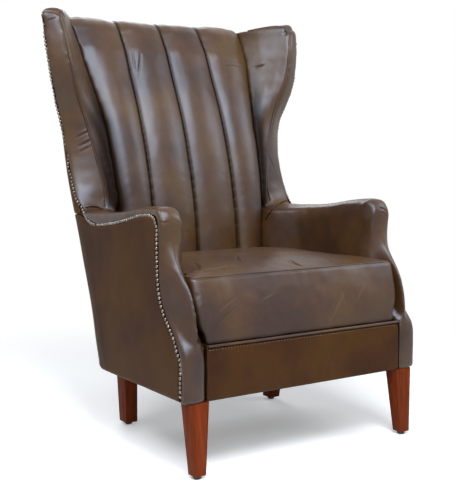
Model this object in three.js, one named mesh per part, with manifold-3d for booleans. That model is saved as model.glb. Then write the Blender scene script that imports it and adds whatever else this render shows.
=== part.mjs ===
// Wingback armchair, fully upholstered in leather, on four tapered wooden legs.
// Millimetres, +Z up. The chair faces -Y, and left is the side at -X, as seen from the front.
// Heights are measured from the floor and depths from the middle of the front feet.

import * as THREE from 'three';
import { mergeVertices } from 'three/addons/utils/BufferGeometryUtils.js';
import Module from 'manifold-3d';

// Main sizes of the chair
const overallHeight = 1138;
const railUnderside = 178;
const seatRailTop = 300;
const armHeight = 620;
const bodyHalfWidth = 356;
const bodyFront = -9;
const armSetback = 104;
const outsideBackDepth = 812;
const backTopThickness = 46;
const topSeamDepth = outsideBackDepth - backTopThickness;
const rearCornerReach = 110;
const shoulderPinch = 39;
const clearance = 0.3;
const seamGap = 1.5;
const padGap = 1;
const overrun = 5;

// Legs, glides and their bolts
const frontLegTop = { sideInset: 14, width: 52, front: -8, rear: 34 };
const frontLegFoot = { sideInset: 22, width: 31, front: -15, rear: 15 };
const rearLegTop = { sideInset: 82, width: 38, backInset: 6, depth: 52 };
const rearLegFoot = { sideInset: 96, width: 34, backInset: -4, depth: 40 };
const glideRadius = 10;
const glideWaistRadius = 8.5;
const glideHeight = 8;
const boltRadius = 4;
const boltLength = 78;
const boltIntoLeg = 40;
const boltPoint = 3;
const boltClearance = 0.4;
const boltBoreExtra = 2;
const frontBoltInset = 47;
const frontBoltDepth = 23.5;
const rearBoltInset = 106;
const rearBoltBackInset = 18;

// Hardwood frame
const boardThickness = 26;
const postDepth = 40;
const postInset = 94;
const postInner = bodyHalfWidth - postInset;
const postTopDrop = 38;
const postTop = overallHeight - postTopDrop;
const backRailThickness = 26;
const topRailHeight = 48;
const lowerRailRise = 35;
const lowerRailFoot = seatRailTop + lowerRailRise;
const lowerRailHeight = 45;
const sideRailRearInset = 14;
const armRailDepth = 28;
const armRailFrontDrop = 46;
const armRailRearDrop = 74;
const armRailFrontTop = armHeight - armRailFrontDrop;
const armRailRearTop = armHeight - armRailRearDrop;
const armRailRearInset = 8;
const armRailNoseGap = 6;
const armPostDepth = 44;
const cornerBlockLeg = 60;
const cornerBlockDrop = 14;
const wingBoardThickness = 16;
const wingBoardInset = 11;
const wingBoardNose = 14;
const wingBoardFootShare = 0.444;
const wingBoardDrop = 53;
const wingBoardFoot = mix(armHeight, overallHeight, wingBoardFootShare);
const wingBoardTop = overallHeight - wingBoardDrop;

// Suspension of the seat and of the back
const springCount = 4;
const springPitch = 130;
const springWireRadius = 1.9;
const springAmplitude = 24;
const springHalfLoops = 10;
const springDrop = 4;
const springBarThickness = 2.5;
const springBarHeight = 16;
const springBarEndInset = 22;
const springBarHalfLength = postInner - springBarEndInset;
const deckThickness = 5.4;
const deckSideGap = 1.7;
const webbingWidth = 55;
const webbingThickness = 2.2;
const webbingArmDrop = 60;
const webbingBackShare = 0.444;
const dustCoverThickness = 2;

// Upholstery
const coverThickness = 8;
const railCoverThickness = 8.7;
const frontPadDepth = 22;
const armTopRadius = 40;
const cornerRound = 11;
const faceCrown = 3;
const armFootWidth = 59;
const armTopWidth = 76;
const armCrestWidth = 60;
const armFaceInnerFoot = bodyHalfWidth - armFootWidth;
const armFaceInnerTop = bodyHalfWidth - armTopWidth;
const armFaceInnerCrest = bodyHalfWidth - armCrestWidth;
const armDip = 30;
const armSweepLength = 135;
const nailSetback = 18;
const nailEdge = 7;
const nailStripWidth = 10;
const nailStripThickness = 2;
const nailStripLift = 0.5;
const nailStripShoulder = 0.75;
const nailStripFoot = 184;
const nailTurnDepth = 124;
const nailTurnDrop = 28;
const nailTurnHeight = armHeight - nailTurnDrop;
const wingFootDrop = 24;
const wingFoot = armHeight - wingFootDrop;
const wingTipHalfWidth = 429;
const wingReach = 208;
const wingTipDepth = outsideBackDepth - wingReach;
const nailWingGap = 84;
const nailBackEnd = wingTipDepth - nailWingGap;
const wingFaceWidth = 57;
const wingTopRise = 10;
const wingTopDrop = 17;
const wingTop = overallHeight - wingTopDrop;
const wingBulge = 7;
const backPadTuck = 72;
const backPadSideInset = 61;
const backPadHalfTop = bodyHalfWidth - backPadSideInset;
const channelSeam = 138;
const channelCrown = 14;
const backPadRoom = 25;
const backRollStart = 2;
const backRollLead = 15;
const backRollCrown = 9;
const backRollEndInset = 3;
const outsideBackDrop = 20;
const outsideBackTop = overallHeight - outsideBackDrop;
const outsideBackBulge = 6;
const outsideArmRearDrop = 42;
const outsideArmFrontDrop = 24;
const outsideArmRearTop = armHeight - outsideArmRearDrop;
const outsideArmFrontTop = armHeight - outsideArmFrontDrop;

// Loose seat cushion
const cushionBottom = 306;
const cushionWall = 151;
const cushionSeam = cushionBottom + cushionWall;
const backPadFoot = cushionSeam - backPadTuck;
const cushionCrown = 21;
const cushionFrontFoot = -1;
const cushionFrontLean = 36;
const cushionFrontBulge = 8;
const cushionRearRoom = 15;
const cushionRearRecess = 13;
const cushionFootInset = 3;
const cushionEarInset = 44;
const cushionEarHalf = bodyHalfWidth - cushionEarInset;
const cushionEarRear = 86;
const cushionGap = 1;
const cushionRearSlack = 4;
const cushionRearSlackLength = 60;
const cushionMiddleShare = 0.533;
const coreInset = { side: 40, front: 51, rear: 64, bottom: 18, top: 13 };
const coreRound = 14;
const zipHalfLength = 168;
const zipRise = 76;
const zipHeight = cushionBottom + zipRise;
const zipWidth = 5;
const zipDepth = 7;
const zipProud = 1;
const sliderLength = 12;
const sliderHeight = 9;
const sliderThickness = 4;
const pullLength = 16;
const pullWidth = 5;

// Profiles: height as a share of the overall height, then a share of the size each one follows.
// The seat and the arm tops keep their shares when a height changes.
const seatShare = 0.2689;
const armTopShare = 0.5448;
const armFrontShares = [
  [0.156, 0], [0.24, 0], [0.262, 0.05], [0.285, 0.27], [0.303, 0.48], [0.322, 0.67],
  [0.343, 0.81], [0.362, 0.9], [0.4, 0.965], [0.456, 1], [0.51, 0.985],
];
const armFaceShares = [
  [0.27, 0], [0.295, 0.2], [0.327, 0.55], [0.371, 1], [0.422, 1],
];
const armDipShares = [
  [0.19, 0], [0.27, 0.17], [0.34, 0.52], [0.42, 0.76], [0.5, 0.9], [0.57, 1], [0.64, 1],
];
const seamDepthShares = [
  [0.26, 0.658], [0.36, 0.659], [0.4, 0.661], [0.495, 0.675], [0.575, 0.697], [0.642, 0.723],
  [0.688, 0.744], [0.764, 0.786], [0.812, 0.817], [0.862, 0.852], [0.924, 0.894], [0.968, 0.941],
];
const outsideBackShares = [
  [0.156, 0.6133], [0.22, 0.634], [0.295, 0.657], [0.392, 0.704], [0.493, 0.751], [0.575, 0.784],
  [0.642, 0.812], [0.688, 0.831], [0.764, 0.866], [0.812, 0.89], [0.862, 0.917], [0.924, 0.954],
  [0.968, 0.984], [1, 1.004],
];
const cornerReachShares = [
  [0.156, 1], [0.22, 0.93], [0.295, 0.86], [0.392, 0.77], [0.493, 0.66], [0.545, 0.52],
  [0.58, 0.43], [0.615, 0.38], [0.68, 0.38], [0.79, 0.42], [0.982, 0.41],
];
const pinchShares = [
  [0.527, 0], [0.615, 0.1], [0.685, 0.28], [0.756, 0.49], [0.826, 0.69], [0.879, 0.82], [0.982, 1],
];
const padHalfShares = [
  [0.28, 0.746], [0.398, 0.75], [0.454, 0.768], [0.525, 0.802], [0.613, 0.827], [0.727, 0.851],
  [0.874, 0.936], [0.951, 0.968], [0.993, 1],
];
const flareShares = [
  [0.545, 0], [0.615, 0.02], [0.65, 0.04], [0.685, 0.09], [0.721, 0.17], [0.756, 0.32],
  [0.791, 0.54], [0.835, 0.71], [0.879, 0.82], [0.923, 0.91], [0.975, 1], [0.993, 1.01],
];
const wingDepthShares = [
  [0.519, 0.86], [0.5245, 0.876], [0.535, 0.904], [0.545, 0.921], [0.562, 0.939], [0.58, 0.955],
  [0.615, 0.983], [0.65, 1.004], [0.685, 1.018], [0.721, 1.025], [0.756, 1.021], [0.791, 0.999],
  [0.835, 0.983], [0.879, 0.98], [0.923, 0.985], [0.958, 0.994], [0.993, 1.006],
];
const faceAcrossShares = [
  [0.52, 1.35], [0.545, 1.46], [0.58, 1.42], [0.615, 1.28], [0.65, 1.16], [0.685, 1.07],
  [0.721, 1.01], [0.756, 1], [0.791, 1.03], [0.835, 0.96], [0.879, 0.91], [0.993, 0.87],
];
const faceForwardShares = [
  [0.52, -0.3], [0.545, 0.2], [0.58, 0.46], [0.615, 0.63], [0.65, 0.72], [0.685, 0.72],
  [0.721, 0.7], [0.756, 0.62], [0.791, 0.46], [0.835, 0.47], [0.879, 0.47], [0.993, 0.47],
];
const nailHeightShares = [
  [0.2439, 0.9636], [0.2537, 0.9636], [0.3504, 0.9288], [0.4513, 0.9104], [0.5213, 0.8976],
  [0.5872, 0.9031], [0.6251, 0.9233], [0.6447, 0.9343],
];

// Steps along and around the pads, as shares of their runs
const armPadShares = [0, 0.1, 0.22, 0.34, 0.46, 0.56, 0.65, 0.73, 0.8, 0.86, 0.89, 0.92, 0.96, 1];
const armUnderShares = [0, 0.2, 0.4, 0.6, 0.8, 1];
const armBackShare = 1 / 3;
const wingFaceShares = [[0.06, 0.3], [0.3, 1], [0.7, 1], [0.94, 0.3]];
const wingInnerShares = [0.06, 0.3, 0.6, 0.85];
const wingBendShares = [0.5, 0.25, 0];
const wingRoundShares = [[0.12, 0.3], [0.45, 1]];
const backRollShares = [
  [0, 0, 1, 0, 0], [0.23, 0.53, 0.93, 0.065, 0], [0.47, 0.87, 0.82, 0.42, 0], [0.7, 1, 0.68, 1, 0],
  [0.735, 0.997, 0.66, 1, 1], [0.92, 0.89, 0.43, 1.1, 1], [1, 0.694, 0, 1.2, 1],
];
const cushionEarShares = [
  [0.268, 0.93], [0.29, 0.935], [0.303, 0.965], [0.325, 0.985], [0.352, 0.995], [0.4016, 1],
];
const cushionEarRearShares = [
  [0.268, 0.13], [0.29, 0.2], [0.303, 0.38], [0.325, 0.66], [0.352, 0.84], [0.4016, 1],
];
const cushionWallShares = [0.03, 0.16, 0.28, 0.42, 0.62, 0.82, 0.95, 1];
const cushionCrownShares = [0.97, 0.9, 0.78, 0.58, 0.3];
const cushionCrownPower = 4;
const cushionSideShares = [0, 0.16, 0.36, 0.56, 0.68, 0.78, 0.88, 0.95];
const cushionFrontShares = [0.3, 0.62];
const nailFrontShares = [0, 0.27, 0.57];
const nailBackShares = [0.065, 0.19, 0.34, 0.49, 0.645, 0.76, 0.85, 0.91, 0.96, 1];
const railColumnShares = [-1, -0.84, 0.84, 1];

// Materials
function finish(color, roughness, metalness = 0) {
  return new THREE.MeshStandardMaterial({ color, roughness, metalness });
}

const leather = finish(0x4f3d27, 0.38);
const stainedWood = finish(0x7a4030, 0.4);
const beech = finish(0xc9a77c, 0.65);
const plywood = finish(0xb98f5e, 0.7);
const steel = finish(0x8a8d90, 0.4, 1);
const bronze = finish(0x4a3a2a, 0.35, 1);
const blackNylon = finish(0x1c1a19, 0.5);
const foam = finish(0xe6dcc0, 0.95);
const liningCloth = finish(0x2b2724, 0.9);
const juteWebbing = finish(0x9a7b52, 0.9);

const chair = new THREE.Group();

function add(name, geometry, material) {
  const mesh = new THREE.Mesh(geometry, material);
  mesh.name = name;
  chair.add(mesh);
  return mesh;
}

const sides = [['left', -1], ['right', 1]];

// Smooth value of a table of shares at a given share, level beyond both ends
function follow(rows, at) {
  if (at <= rows[0][0]) return rows[0][1];
  const last = rows.length - 1;
  if (at >= rows[last][0]) return rows[last][1];
  const i = rows.findIndex((row) => row[0] > at) - 1;
  const slope = (a, b) => (rows[b][1] - rows[a][1]) / (rows[b][0] - rows[a][0]);
  const startSlope = i > 0 ? slope(i - 1, i + 1) : slope(i, i + 1);
  const endSlope = i + 1 < last ? slope(i, i + 2) : slope(i, i + 1);
  const span = rows[i + 1][0] - rows[i][0];
  const t = (at - rows[i][0]) / span;
  const t2 = t * t;
  const t3 = t2 * t;
  return rows[i][1] * (2 * t3 - 3 * t2 + 1) + startSlope * span * (t3 - 2 * t2 + t)
    + rows[i + 1][1] * (3 * t2 - 2 * t3) + endSlope * span * (t3 - t2);
}

function mix(a, b, t) {
  return a + (b - a) * t;
}

function smooth(t) {
  const c = Math.min(Math.max(t, 0), 1);
  return c * c * (3 - 2 * c);
}

// Height as a share of the overall height
function levelShare(z) {
  if (z <= cushionBottom) return seatShare * z / cushionBottom;
  const overSeat = (z - cushionBottom) / (armHeight - cushionBottom);
  if (z <= armHeight) return mix(seatShare, armTopShare, overSeat);
  return mix(armTopShare, 1, (z - armHeight) / (overallHeight - armHeight));
}

// Profiles of the body in real sizes
const armFrontAt = (z) => bodyFront + armSetback * follow(armFrontShares, levelShare(z));
const seamDepthAt = (z) => topSeamDepth * follow(seamDepthShares, levelShare(z));
const outsideBackAt = (z) => outsideBackDepth * follow(outsideBackShares, levelShare(z));
const cornerReachAt = (z) => rearCornerReach * follow(cornerReachShares, levelShare(z));
const padHalfAt = (z) => backPadHalfTop * follow(padHalfShares, levelShare(Math.min(z, postTop)));
const cornerHalfAt = (z) => bodyHalfWidth - shoulderPinch * follow(pinchShares, levelShare(z));
const postFrontAt = (z) => outsideBackAt(z) - coverThickness - padGap - postDepth;
const armDipAt = (y) => armDip * follow(armDipShares, y / outsideBackDepth);
const nailHeightAt = (y) => armHeight * follow(nailHeightShares, y / outsideBackDepth);

// Depths behind the seat, in front of the back pad
const cushionRear = seamDepthAt(cushionBottom) - cushionRearRoom;
const armSweepEnd = cushionRear + cushionRearRoom + padGap;
const armSweepStart = armSweepEnd - armSweepLength;

// The inner face of an arm leans away from the seat as it rises, so the cushion lifts out freely
function armInnerLeanAt(z) {
  const rise = Math.max(z - cushionBottom, 0) / (armHeight - cushionBottom);
  return (armFaceInnerCrest - armFaceInnerTop) * rise * rise;
}

function armFaceInnerAt(z) {
  const inward = follow(armFaceShares, levelShare(z));
  return mix(armFaceInnerFoot, armFaceInnerTop, inward) + armInnerLeanAt(z);
}

// Inner face of an arm: straight beside the cushion, then swept in to the side of the back pad
function armInnerAt(y, z) {
  const sweep = smooth((y - armSweepStart) / (armSweepEnd - armSweepStart));
  return mix(armFaceInnerTop + armInnerLeanAt(z), padHalfAt(z) + padGap, sweep);
}

// One closed solid from its corner points and triangles, with the faces turned outwards
function solid(points, triangles) {
  let volume = 0;
  for (const [a, b, c] of triangles) {
    volume += points[a].dot(points[b].clone().cross(points[c]));
  }
  const order = volume < 0 ? triangles.map(([a, b, c]) => [a, c, b]) : triangles;
  const geometry = new THREE.BufferGeometry();
  geometry.setAttribute('position', new THREE.Float32BufferAttribute(points.flatMap((p) => p.toArray()), 3));
  geometry.setIndex(order.flat());
  geometry.computeVertexNormals();
  return geometry;
}

// Triangles that close a ring of points, flat or gently curved
function capTriangles(ring, start) {
  const normal = new THREE.Vector3();
  const centre = new THREE.Vector3();
  for (const p of ring) centre.addScaledVector(p, 1 / ring.length);
  for (let i = 0; i < ring.length; i += 1) {
    const a = ring[i].clone().sub(centre);
    const b = ring[(i + 1) % ring.length].clone().sub(centre);
    normal.add(a.cross(b));
  }
  const turn = new THREE.Quaternion().setFromUnitVectors(normal.normalize(), new THREE.Vector3(0, 0, 1));
  const flat = ring.map((p) => p.clone().applyQuaternion(turn)).map((p) => new THREE.Vector2(p.x, p.y));
  return THREE.ShapeUtils.triangulateShape(flat, []).map((face) => face.map((i) => i + start));
}

// Triangles that close a ring whose second half runs back beside its first half
function ladderTriangles(ring, start) {
  const last = ring.length - 1;
  const triangles = [];
  for (let i = 0; 2 * i + 1 < last; i += 1) {
    const [a, b, c, d] = [i, i + 1, last - i - 1, last - i].map((k) => start + k);
    triangles.push([a, b, c], [a, c, d]);
  }
  return triangles;
}

// A solid skinned over a row of rings that have the same number of points
function skin(rings, capOf = capTriangles) {
  const count = rings[0].length;
  const points = rings.flat();
  const triangles = [];
  for (let k = 0; k + 1 < rings.length; k += 1) {
    for (let i = 0; i < count; i += 1) {
      const a = k * count + i;
      const b = k * count + ((i + 1) % count);
      triangles.push([a, b, b + count], [a, b + count, a + count]);
    }
  }
  const first = capOf(rings[0], 0).map(([a, b, c]) => [a, c, b]);
  const last = capOf(rings[rings.length - 1], (rings.length - 1) * count);
  return solid(points, [...triangles, ...first, ...last]);
}

// A panel: place(column, row, depth) gives its points, with depth 0 outside and 1 inside
function panel(columns, rows, place) {
  const points = [];
  const index = (i, j, w) => (w * (rows + 1) + j) * (columns + 1) + i;
  for (let w = 0; w <= 1; w += 1) {
    for (let j = 0; j <= rows; j += 1) {
      for (let i = 0; i <= columns; i += 1) points.push(place(i, j, w));
    }
  }
  const triangles = [];
  const quad = (a, b, c, d) => triangles.push([a, b, c], [a, c, d]);
  for (let j = 0; j < rows; j += 1) {
    for (let i = 0; i < columns; i += 1) {
      quad(index(i, j, 0), index(i + 1, j, 0), index(i + 1, j + 1, 0), index(i, j + 1, 0));
      quad(index(i, j + 1, 1), index(i + 1, j + 1, 1), index(i + 1, j, 1), index(i, j, 1));
    }
  }
  for (let i = 0; i < columns; i += 1) {
    quad(index(i, 0, 1), index(i + 1, 0, 1), index(i + 1, 0, 0), index(i, 0, 0));
    quad(index(i, rows, 0), index(i + 1, rows, 0), index(i + 1, rows, 1), index(i, rows, 1));
  }
  for (let j = 0; j < rows; j += 1) {
    quad(index(0, j, 0), index(0, j + 1, 0), index(0, j + 1, 1), index(0, j, 1));
    quad(index(columns, j, 1), index(columns, j + 1, 1), index(columns, j + 1, 0), index(columns, j, 0));
  }
  return solid(points, triangles);
}

// A board or block between two rectangles, each given by its x and y limits, at two heights
function taperedBlock(low, lowHeight, high, highHeight, side = 1) {
  const ring = (r, z) => [
    new THREE.Vector3(side * r.inner, r.front, z), new THREE.Vector3(side * r.outer, r.front, z),
    new THREE.Vector3(side * r.outer, r.rear, z), new THREE.Vector3(side * r.inner, r.rear, z),
  ];
  return skin([ring(low, lowHeight), ring(high, highHeight)]);
}

const wasm = await Module();
wasm.setup();

function toManifold(geometry) {
  const bare = geometry.clone();
  bare.deleteAttribute('normal');
  bare.deleteAttribute('uv');
  const merged = mergeVertices(bare);
  const vertProperties = new Float32Array(merged.attributes.position.array);
  const triVerts = new Uint32Array(merged.index.array);
  return new wasm.Manifold(new wasm.Mesh({ numProp: 3, vertProperties, triVerts }));
}

function cutFrom(geometry, ...tools) {
  let body = toManifold(geometry);
  for (const tool of tools) body = body.subtract(toManifold(tool));
  const mesh = body.getMesh();
  const result = new THREE.BufferGeometry();
  result.setAttribute('position', new THREE.BufferAttribute(mesh.vertProperties, 3));
  result.setIndex(new THREE.BufferAttribute(mesh.triVerts, 1));
  result.computeVertexNormals();
  return result;
}

function uprightCylinder(radius, bottom, top, x, y, segments) {
  const geometry = new THREE.CylinderGeometry(radius, radius, top - bottom, segments);
  geometry.rotateX(Math.PI / 2);
  geometry.translate(x, y, (top + bottom) / 2);
  return geometry;
}

const frameFoot = railUnderside;
const legTopHeight = frameFoot - clearance;

// Legs with a blind bore for the hanger bolt, and a plastic glide under each
const boltBottom = legTopHeight - boltIntoLeg;
const boltTop = boltBottom + boltLength;
const boltSegments = 12;
const glideSegments = 16;

function boltBore(x, y) {
  const low = boltBottom - boltBoreExtra;
  const high = boltTop + boltBoreExtra;
  return uprightCylinder(boltRadius + boltClearance, low, high, x, y, boltSegments);
}

function hangerBolt(x, y) {
  const profile = [
    new THREE.Vector2(0, boltBottom), new THREE.Vector2(boltRadius - boltPoint / 2, boltBottom),
    new THREE.Vector2(boltRadius, boltBottom + boltPoint), new THREE.Vector2(boltRadius, boltTop - boltPoint),
    new THREE.Vector2(boltRadius - boltPoint / 2, boltTop), new THREE.Vector2(0, boltTop),
  ];
  const bolt = new THREE.LatheGeometry(profile, boltSegments);
  bolt.rotateX(Math.PI / 2);
  bolt.scale(1, -1, 1);
  bolt.index.array.reverse();
  bolt.translate(x, y, 0);
  return bolt;
}

function glide(x, y) {
  const profile = [
    new THREE.Vector2(0, 0), new THREE.Vector2(glideWaistRadius, 0),
    new THREE.Vector2(glideRadius, glideHeight / 4), new THREE.Vector2(glideRadius, glideHeight - clearance),
    new THREE.Vector2(0, glideHeight - clearance),
  ];
  const foot = new THREE.LatheGeometry(profile, glideSegments);
  foot.rotateX(Math.PI / 2);
  foot.scale(1, -1, 1);
  foot.index.array.reverse();
  foot.translate(x, y, 0);
  return foot;
}

const legBack = outsideBackAt(railUnderside);

function legSection({ sideInset, width, front, rear, backInset, depth }) {
  const outer = bodyHalfWidth - sideInset;
  const far = rear ?? legBack - backInset;
  return { inner: outer - width, outer, front: front ?? far - depth, rear: far };
}

const frontTop = legSection(frontLegTop);
const rearTop = legSection(rearLegTop);
const frontBolt = { x: bodyHalfWidth - frontBoltInset, y: frontBoltDepth };
const rearBolt = { x: bodyHalfWidth - rearBoltInset, y: legBack - rearBoltBackInset };

for (const [hand, side] of sides) {
  const legs = [
    ['front', legSection(frontLegFoot), frontTop, frontBolt],
    ['rear', legSection(rearLegFoot), rearTop, rearBolt],
  ];
  for (const [place, foot, top, bolt] of legs) {
    const leg = taperedBlock(foot, glideHeight, top, legTopHeight, side);
    add(`leg_${place}_${hand}`, cutFrom(leg, boltBore(side * bolt.x, bolt.y)), stainedWood);
    add(`leg_bolt_${place}_${hand}`, hangerBolt(side * bolt.x, bolt.y), steel);
    const footX = side * (foot.inner + foot.outer) / 2;
    add(`glide_${place}_${hand}`, glide(footX, (foot.front + foot.rear) / 2), blackNylon);
  }
}

// Levels of the shaped arm front, closest where it curves
const armPostTop = armRailFrontTop - armRailDepth - clearance;
const sideRailSteps = 5;
const armPostSteps = 10;
const armRowPicks = [0, 3, 4, 5, 6, 7, 8, 9, 10, 11, 13, 15];

function evenLevels(low, high, steps) {
  return Array.from({ length: steps + 1 }, (_, k) => mix(low, high, k / steps));
}

const sideRailLevels = evenLevels(frameFoot, seatRailTop, sideRailSteps);
const armPostUpper = evenLevels(seatRailTop, armPostTop, armPostSteps).slice(1);
const armPostLevels = [...sideRailLevels, ...armPostUpper];
const armRowLevels = armRowPicks.map((k) => armPostLevels[k]);
const armRowShares = [...armRowLevels, armHeight - armTopRadius, outsideArmFrontTop].map((z) => (
  (z - railUnderside) / (outsideArmFrontTop - railUnderside)
));
const armRows = armRowShares.length - 1;

// Levels that the outside covers and the frame behind them share
const lowLevels = armRowShares.map((share) => mix(railUnderside, outsideArmRearTop, share));
const highSteps = 14;
const highLevels = evenLevels(outsideArmRearTop, outsideBackTop, highSteps).slice(1);
const backLevels = [...lowLevels, ...highLevels];

function levelsBetween(low, high) {
  const inside = backLevels.filter((z) => z > low + overrun && z < high - overrun);
  return [low, ...inside, high];
}

// Outer plan outline of one side at a height: from the front edge to the rear corner and the back
function outlineAt(z, edge) {
  const corner = new THREE.Vector2(cornerHalfAt(z), outsideBackAt(z));
  const along = corner.clone().sub(edge).normalize();
  const outward = new THREE.Vector2(along.y, -along.x);
  const reach = cornerReachAt(z);
  const bendStart = corner.clone().addScaledVector(along, -reach);
  const bendEnd = new THREE.Vector2(corner.x - reach, corner.y);
  const bend = new THREE.QuadraticBezierCurve(bendStart, corner, bendEnd);
  return { edge, corner, along, outward, bendStart, bendEnd, bend };
}

// A point of the rear bend, set inwards from the outer surface
function bendPoint(outline, t, inset) {
  const tangent = outline.bend.getTangent(t);
  const p = outline.bend.getPoint(t);
  return new THREE.Vector2(p.x - tangent.y * inset, p.y + tangent.x * inset);
}

// First point of the bend, from the side to the back, where a test holds
const halvings = 20;

function bendWhere(outline, inset, reached) {
  let low = 0;
  let high = 1;
  for (let k = 0; k < halvings; k += 1) {
    const middle = (low + high) / 2;
    if (reached(bendPoint(outline, middle, inset))) high = middle;
    else low = middle;
  }
  return bendPoint(outline, low, inset);
}

// Half width at a depth, on a surface set inwards from the outline
function halfWidthAt(outline, y, inset) {
  const startY = outline.bendStart.y - outline.outward.y * inset;
  if (y <= startY) {
    const reach = (y - outline.edge.y + outline.outward.y * inset) / outline.along.y;
    return outline.edge.x + outline.along.x * reach - outline.outward.x * inset;
  }
  return bendWhere(outline, inset, (p) => p.y >= y).x;
}

// Depth just behind the front pad of an arm, which bends back over the top corner
const bendHeight = armHeight - armTopRadius;
const bendDepth = armFrontAt(bendHeight) + armTopRadius;

function behindFrontPad(z, gap) {
  if (z <= bendHeight) return armFrontAt(z) + frontPadDepth + gap;
  const inside = armTopRadius - frontPadDepth - gap;
  const rise = Math.min(z - bendHeight, inside);
  return bendDepth - Math.sqrt(inside * inside - rise * rise) + clearance;
}

function armEdgeAt(z) {
  return new THREE.Vector2(bodyHalfWidth, behindFrontPad(z, seamGap));
}

function wingEdgeAt(z) {
  const flare = follow(flareShares, levelShare(z));
  const x = mix(bodyHalfWidth, wingTipHalfWidth, flare);
  return new THREE.Vector2(x, wingTipDepth * follow(wingDepthShares, levelShare(z)));
}

// Frame: rear posts that follow the rake and fill the rounded rear corners
const bendSteps = 6;
const postBendPicks = [3, 4];

for (const [hand, side] of sides) {
  const rings = levelsBetween(frameFoot, postTop).map((z) => {
    const outline = outlineAt(z, z > wingFoot ? wingEdgeAt(z) : armEdgeAt(z));
    const inset = coverThickness + padGap;
    const front = postFrontAt(z);
    const bends = postBendPicks.map((k) => bendPoint(outline, k / bendSteps, inset));
    const plan = [
      new THREE.Vector2(postInner, front),
      new THREE.Vector2(halfWidthAt(outline, front, inset + padGap), front), ...bends,
      new THREE.Vector2(postInner, bendWhere(outline, inset + padGap, (p) => p.x <= postInner).y),
    ];
    return plan.map((p) => new THREE.Vector3(side * p.x, p.y, z));
  });
  add(`back_post_${hand}`, skin(rings), beech);
}

// Frame: rails across the back, between the posts
function backRail(bottom, top, depth, halfLength) {
  const levels = levelsBetween(bottom, top);
  return panel(railColumnShares.length - 1, levels.length - 1, (i, j, w) => {
    const z = levels[j];
    const x = halfLength * railColumnShares[i];
    const inset = coverThickness + padGap;
    const outline = outlineAt(z, z > wingFoot ? wingEdgeAt(z) : armEdgeAt(z));
    const flat = outline.corner.y - inset;
    const rear = Math.abs(x) > outline.bendEnd.x
      ? bendWhere(outline, inset + padGap, (p) => p.x <= Math.abs(x)).y
      : flat;
    return new THREE.Vector3(x, w ? flat - depth : rear, z);
  });
}

const backRailHalf = postInner - clearance;
const rearRail = backRail(frameFoot, seatRailTop, backRailThickness, backRailHalf);
const rearBores = sides.map(([, side]) => boltBore(side * rearBolt.x, rearBolt.y));
add('rear_rail', cutFrom(rearRail, ...rearBores), beech);
const lowerRailTop = lowerRailFoot + lowerRailHeight;
add('back_lower_rail', backRail(lowerRailFoot, lowerRailTop, backRailThickness, backRailHalf), beech);
add('back_top_rail', backRail(postTop - topRailHeight, postTop, postDepth, backRailHalf), beech);

// Frame: front rail, side rails, shaped arm posts and arm rails
const boardOuter = bodyHalfWidth - coverThickness - clearance;
const boardInner = boardOuter - boardThickness;
const frontRailFront = bodyFront + railCoverThickness + clearance;
const frontRailRear = frontRailFront + boardThickness;
const frontRailHalf = armFaceInnerFoot - padGap;
const frontRailPlan = {
  inner: -frontRailHalf, outer: frontRailHalf, front: frontRailFront, rear: frontRailRear,
};
add('front_rail', taperedBlock(frontRailPlan, frameFoot, frontRailPlan, seatRailTop), beech);

const armPostFrontAt = (z) => armFrontAt(z) + frontPadDepth + padGap;

const armRailFront = armPostFrontAt(armPostTop) + armRailNoseGap;
const armRailRear = postFrontAt(armRailRearTop) - clearance - padGap;
const armRailLean = postFrontAt(armRailRearTop) - postFrontAt(armRailRearTop - armRailDepth);

function armRailTopAt(y) {
  return mix(armRailFrontTop, armRailRearTop, (y - armRailFront) / (armRailRear - armRailFront));
}

function armRailUnderAt(y) {
  const along = (y - armRailFront) / (armRailRear - armRailLean - armRailFront);
  return mix(armRailFrontTop, armRailRearTop, along) - armRailDepth;
}

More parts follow.
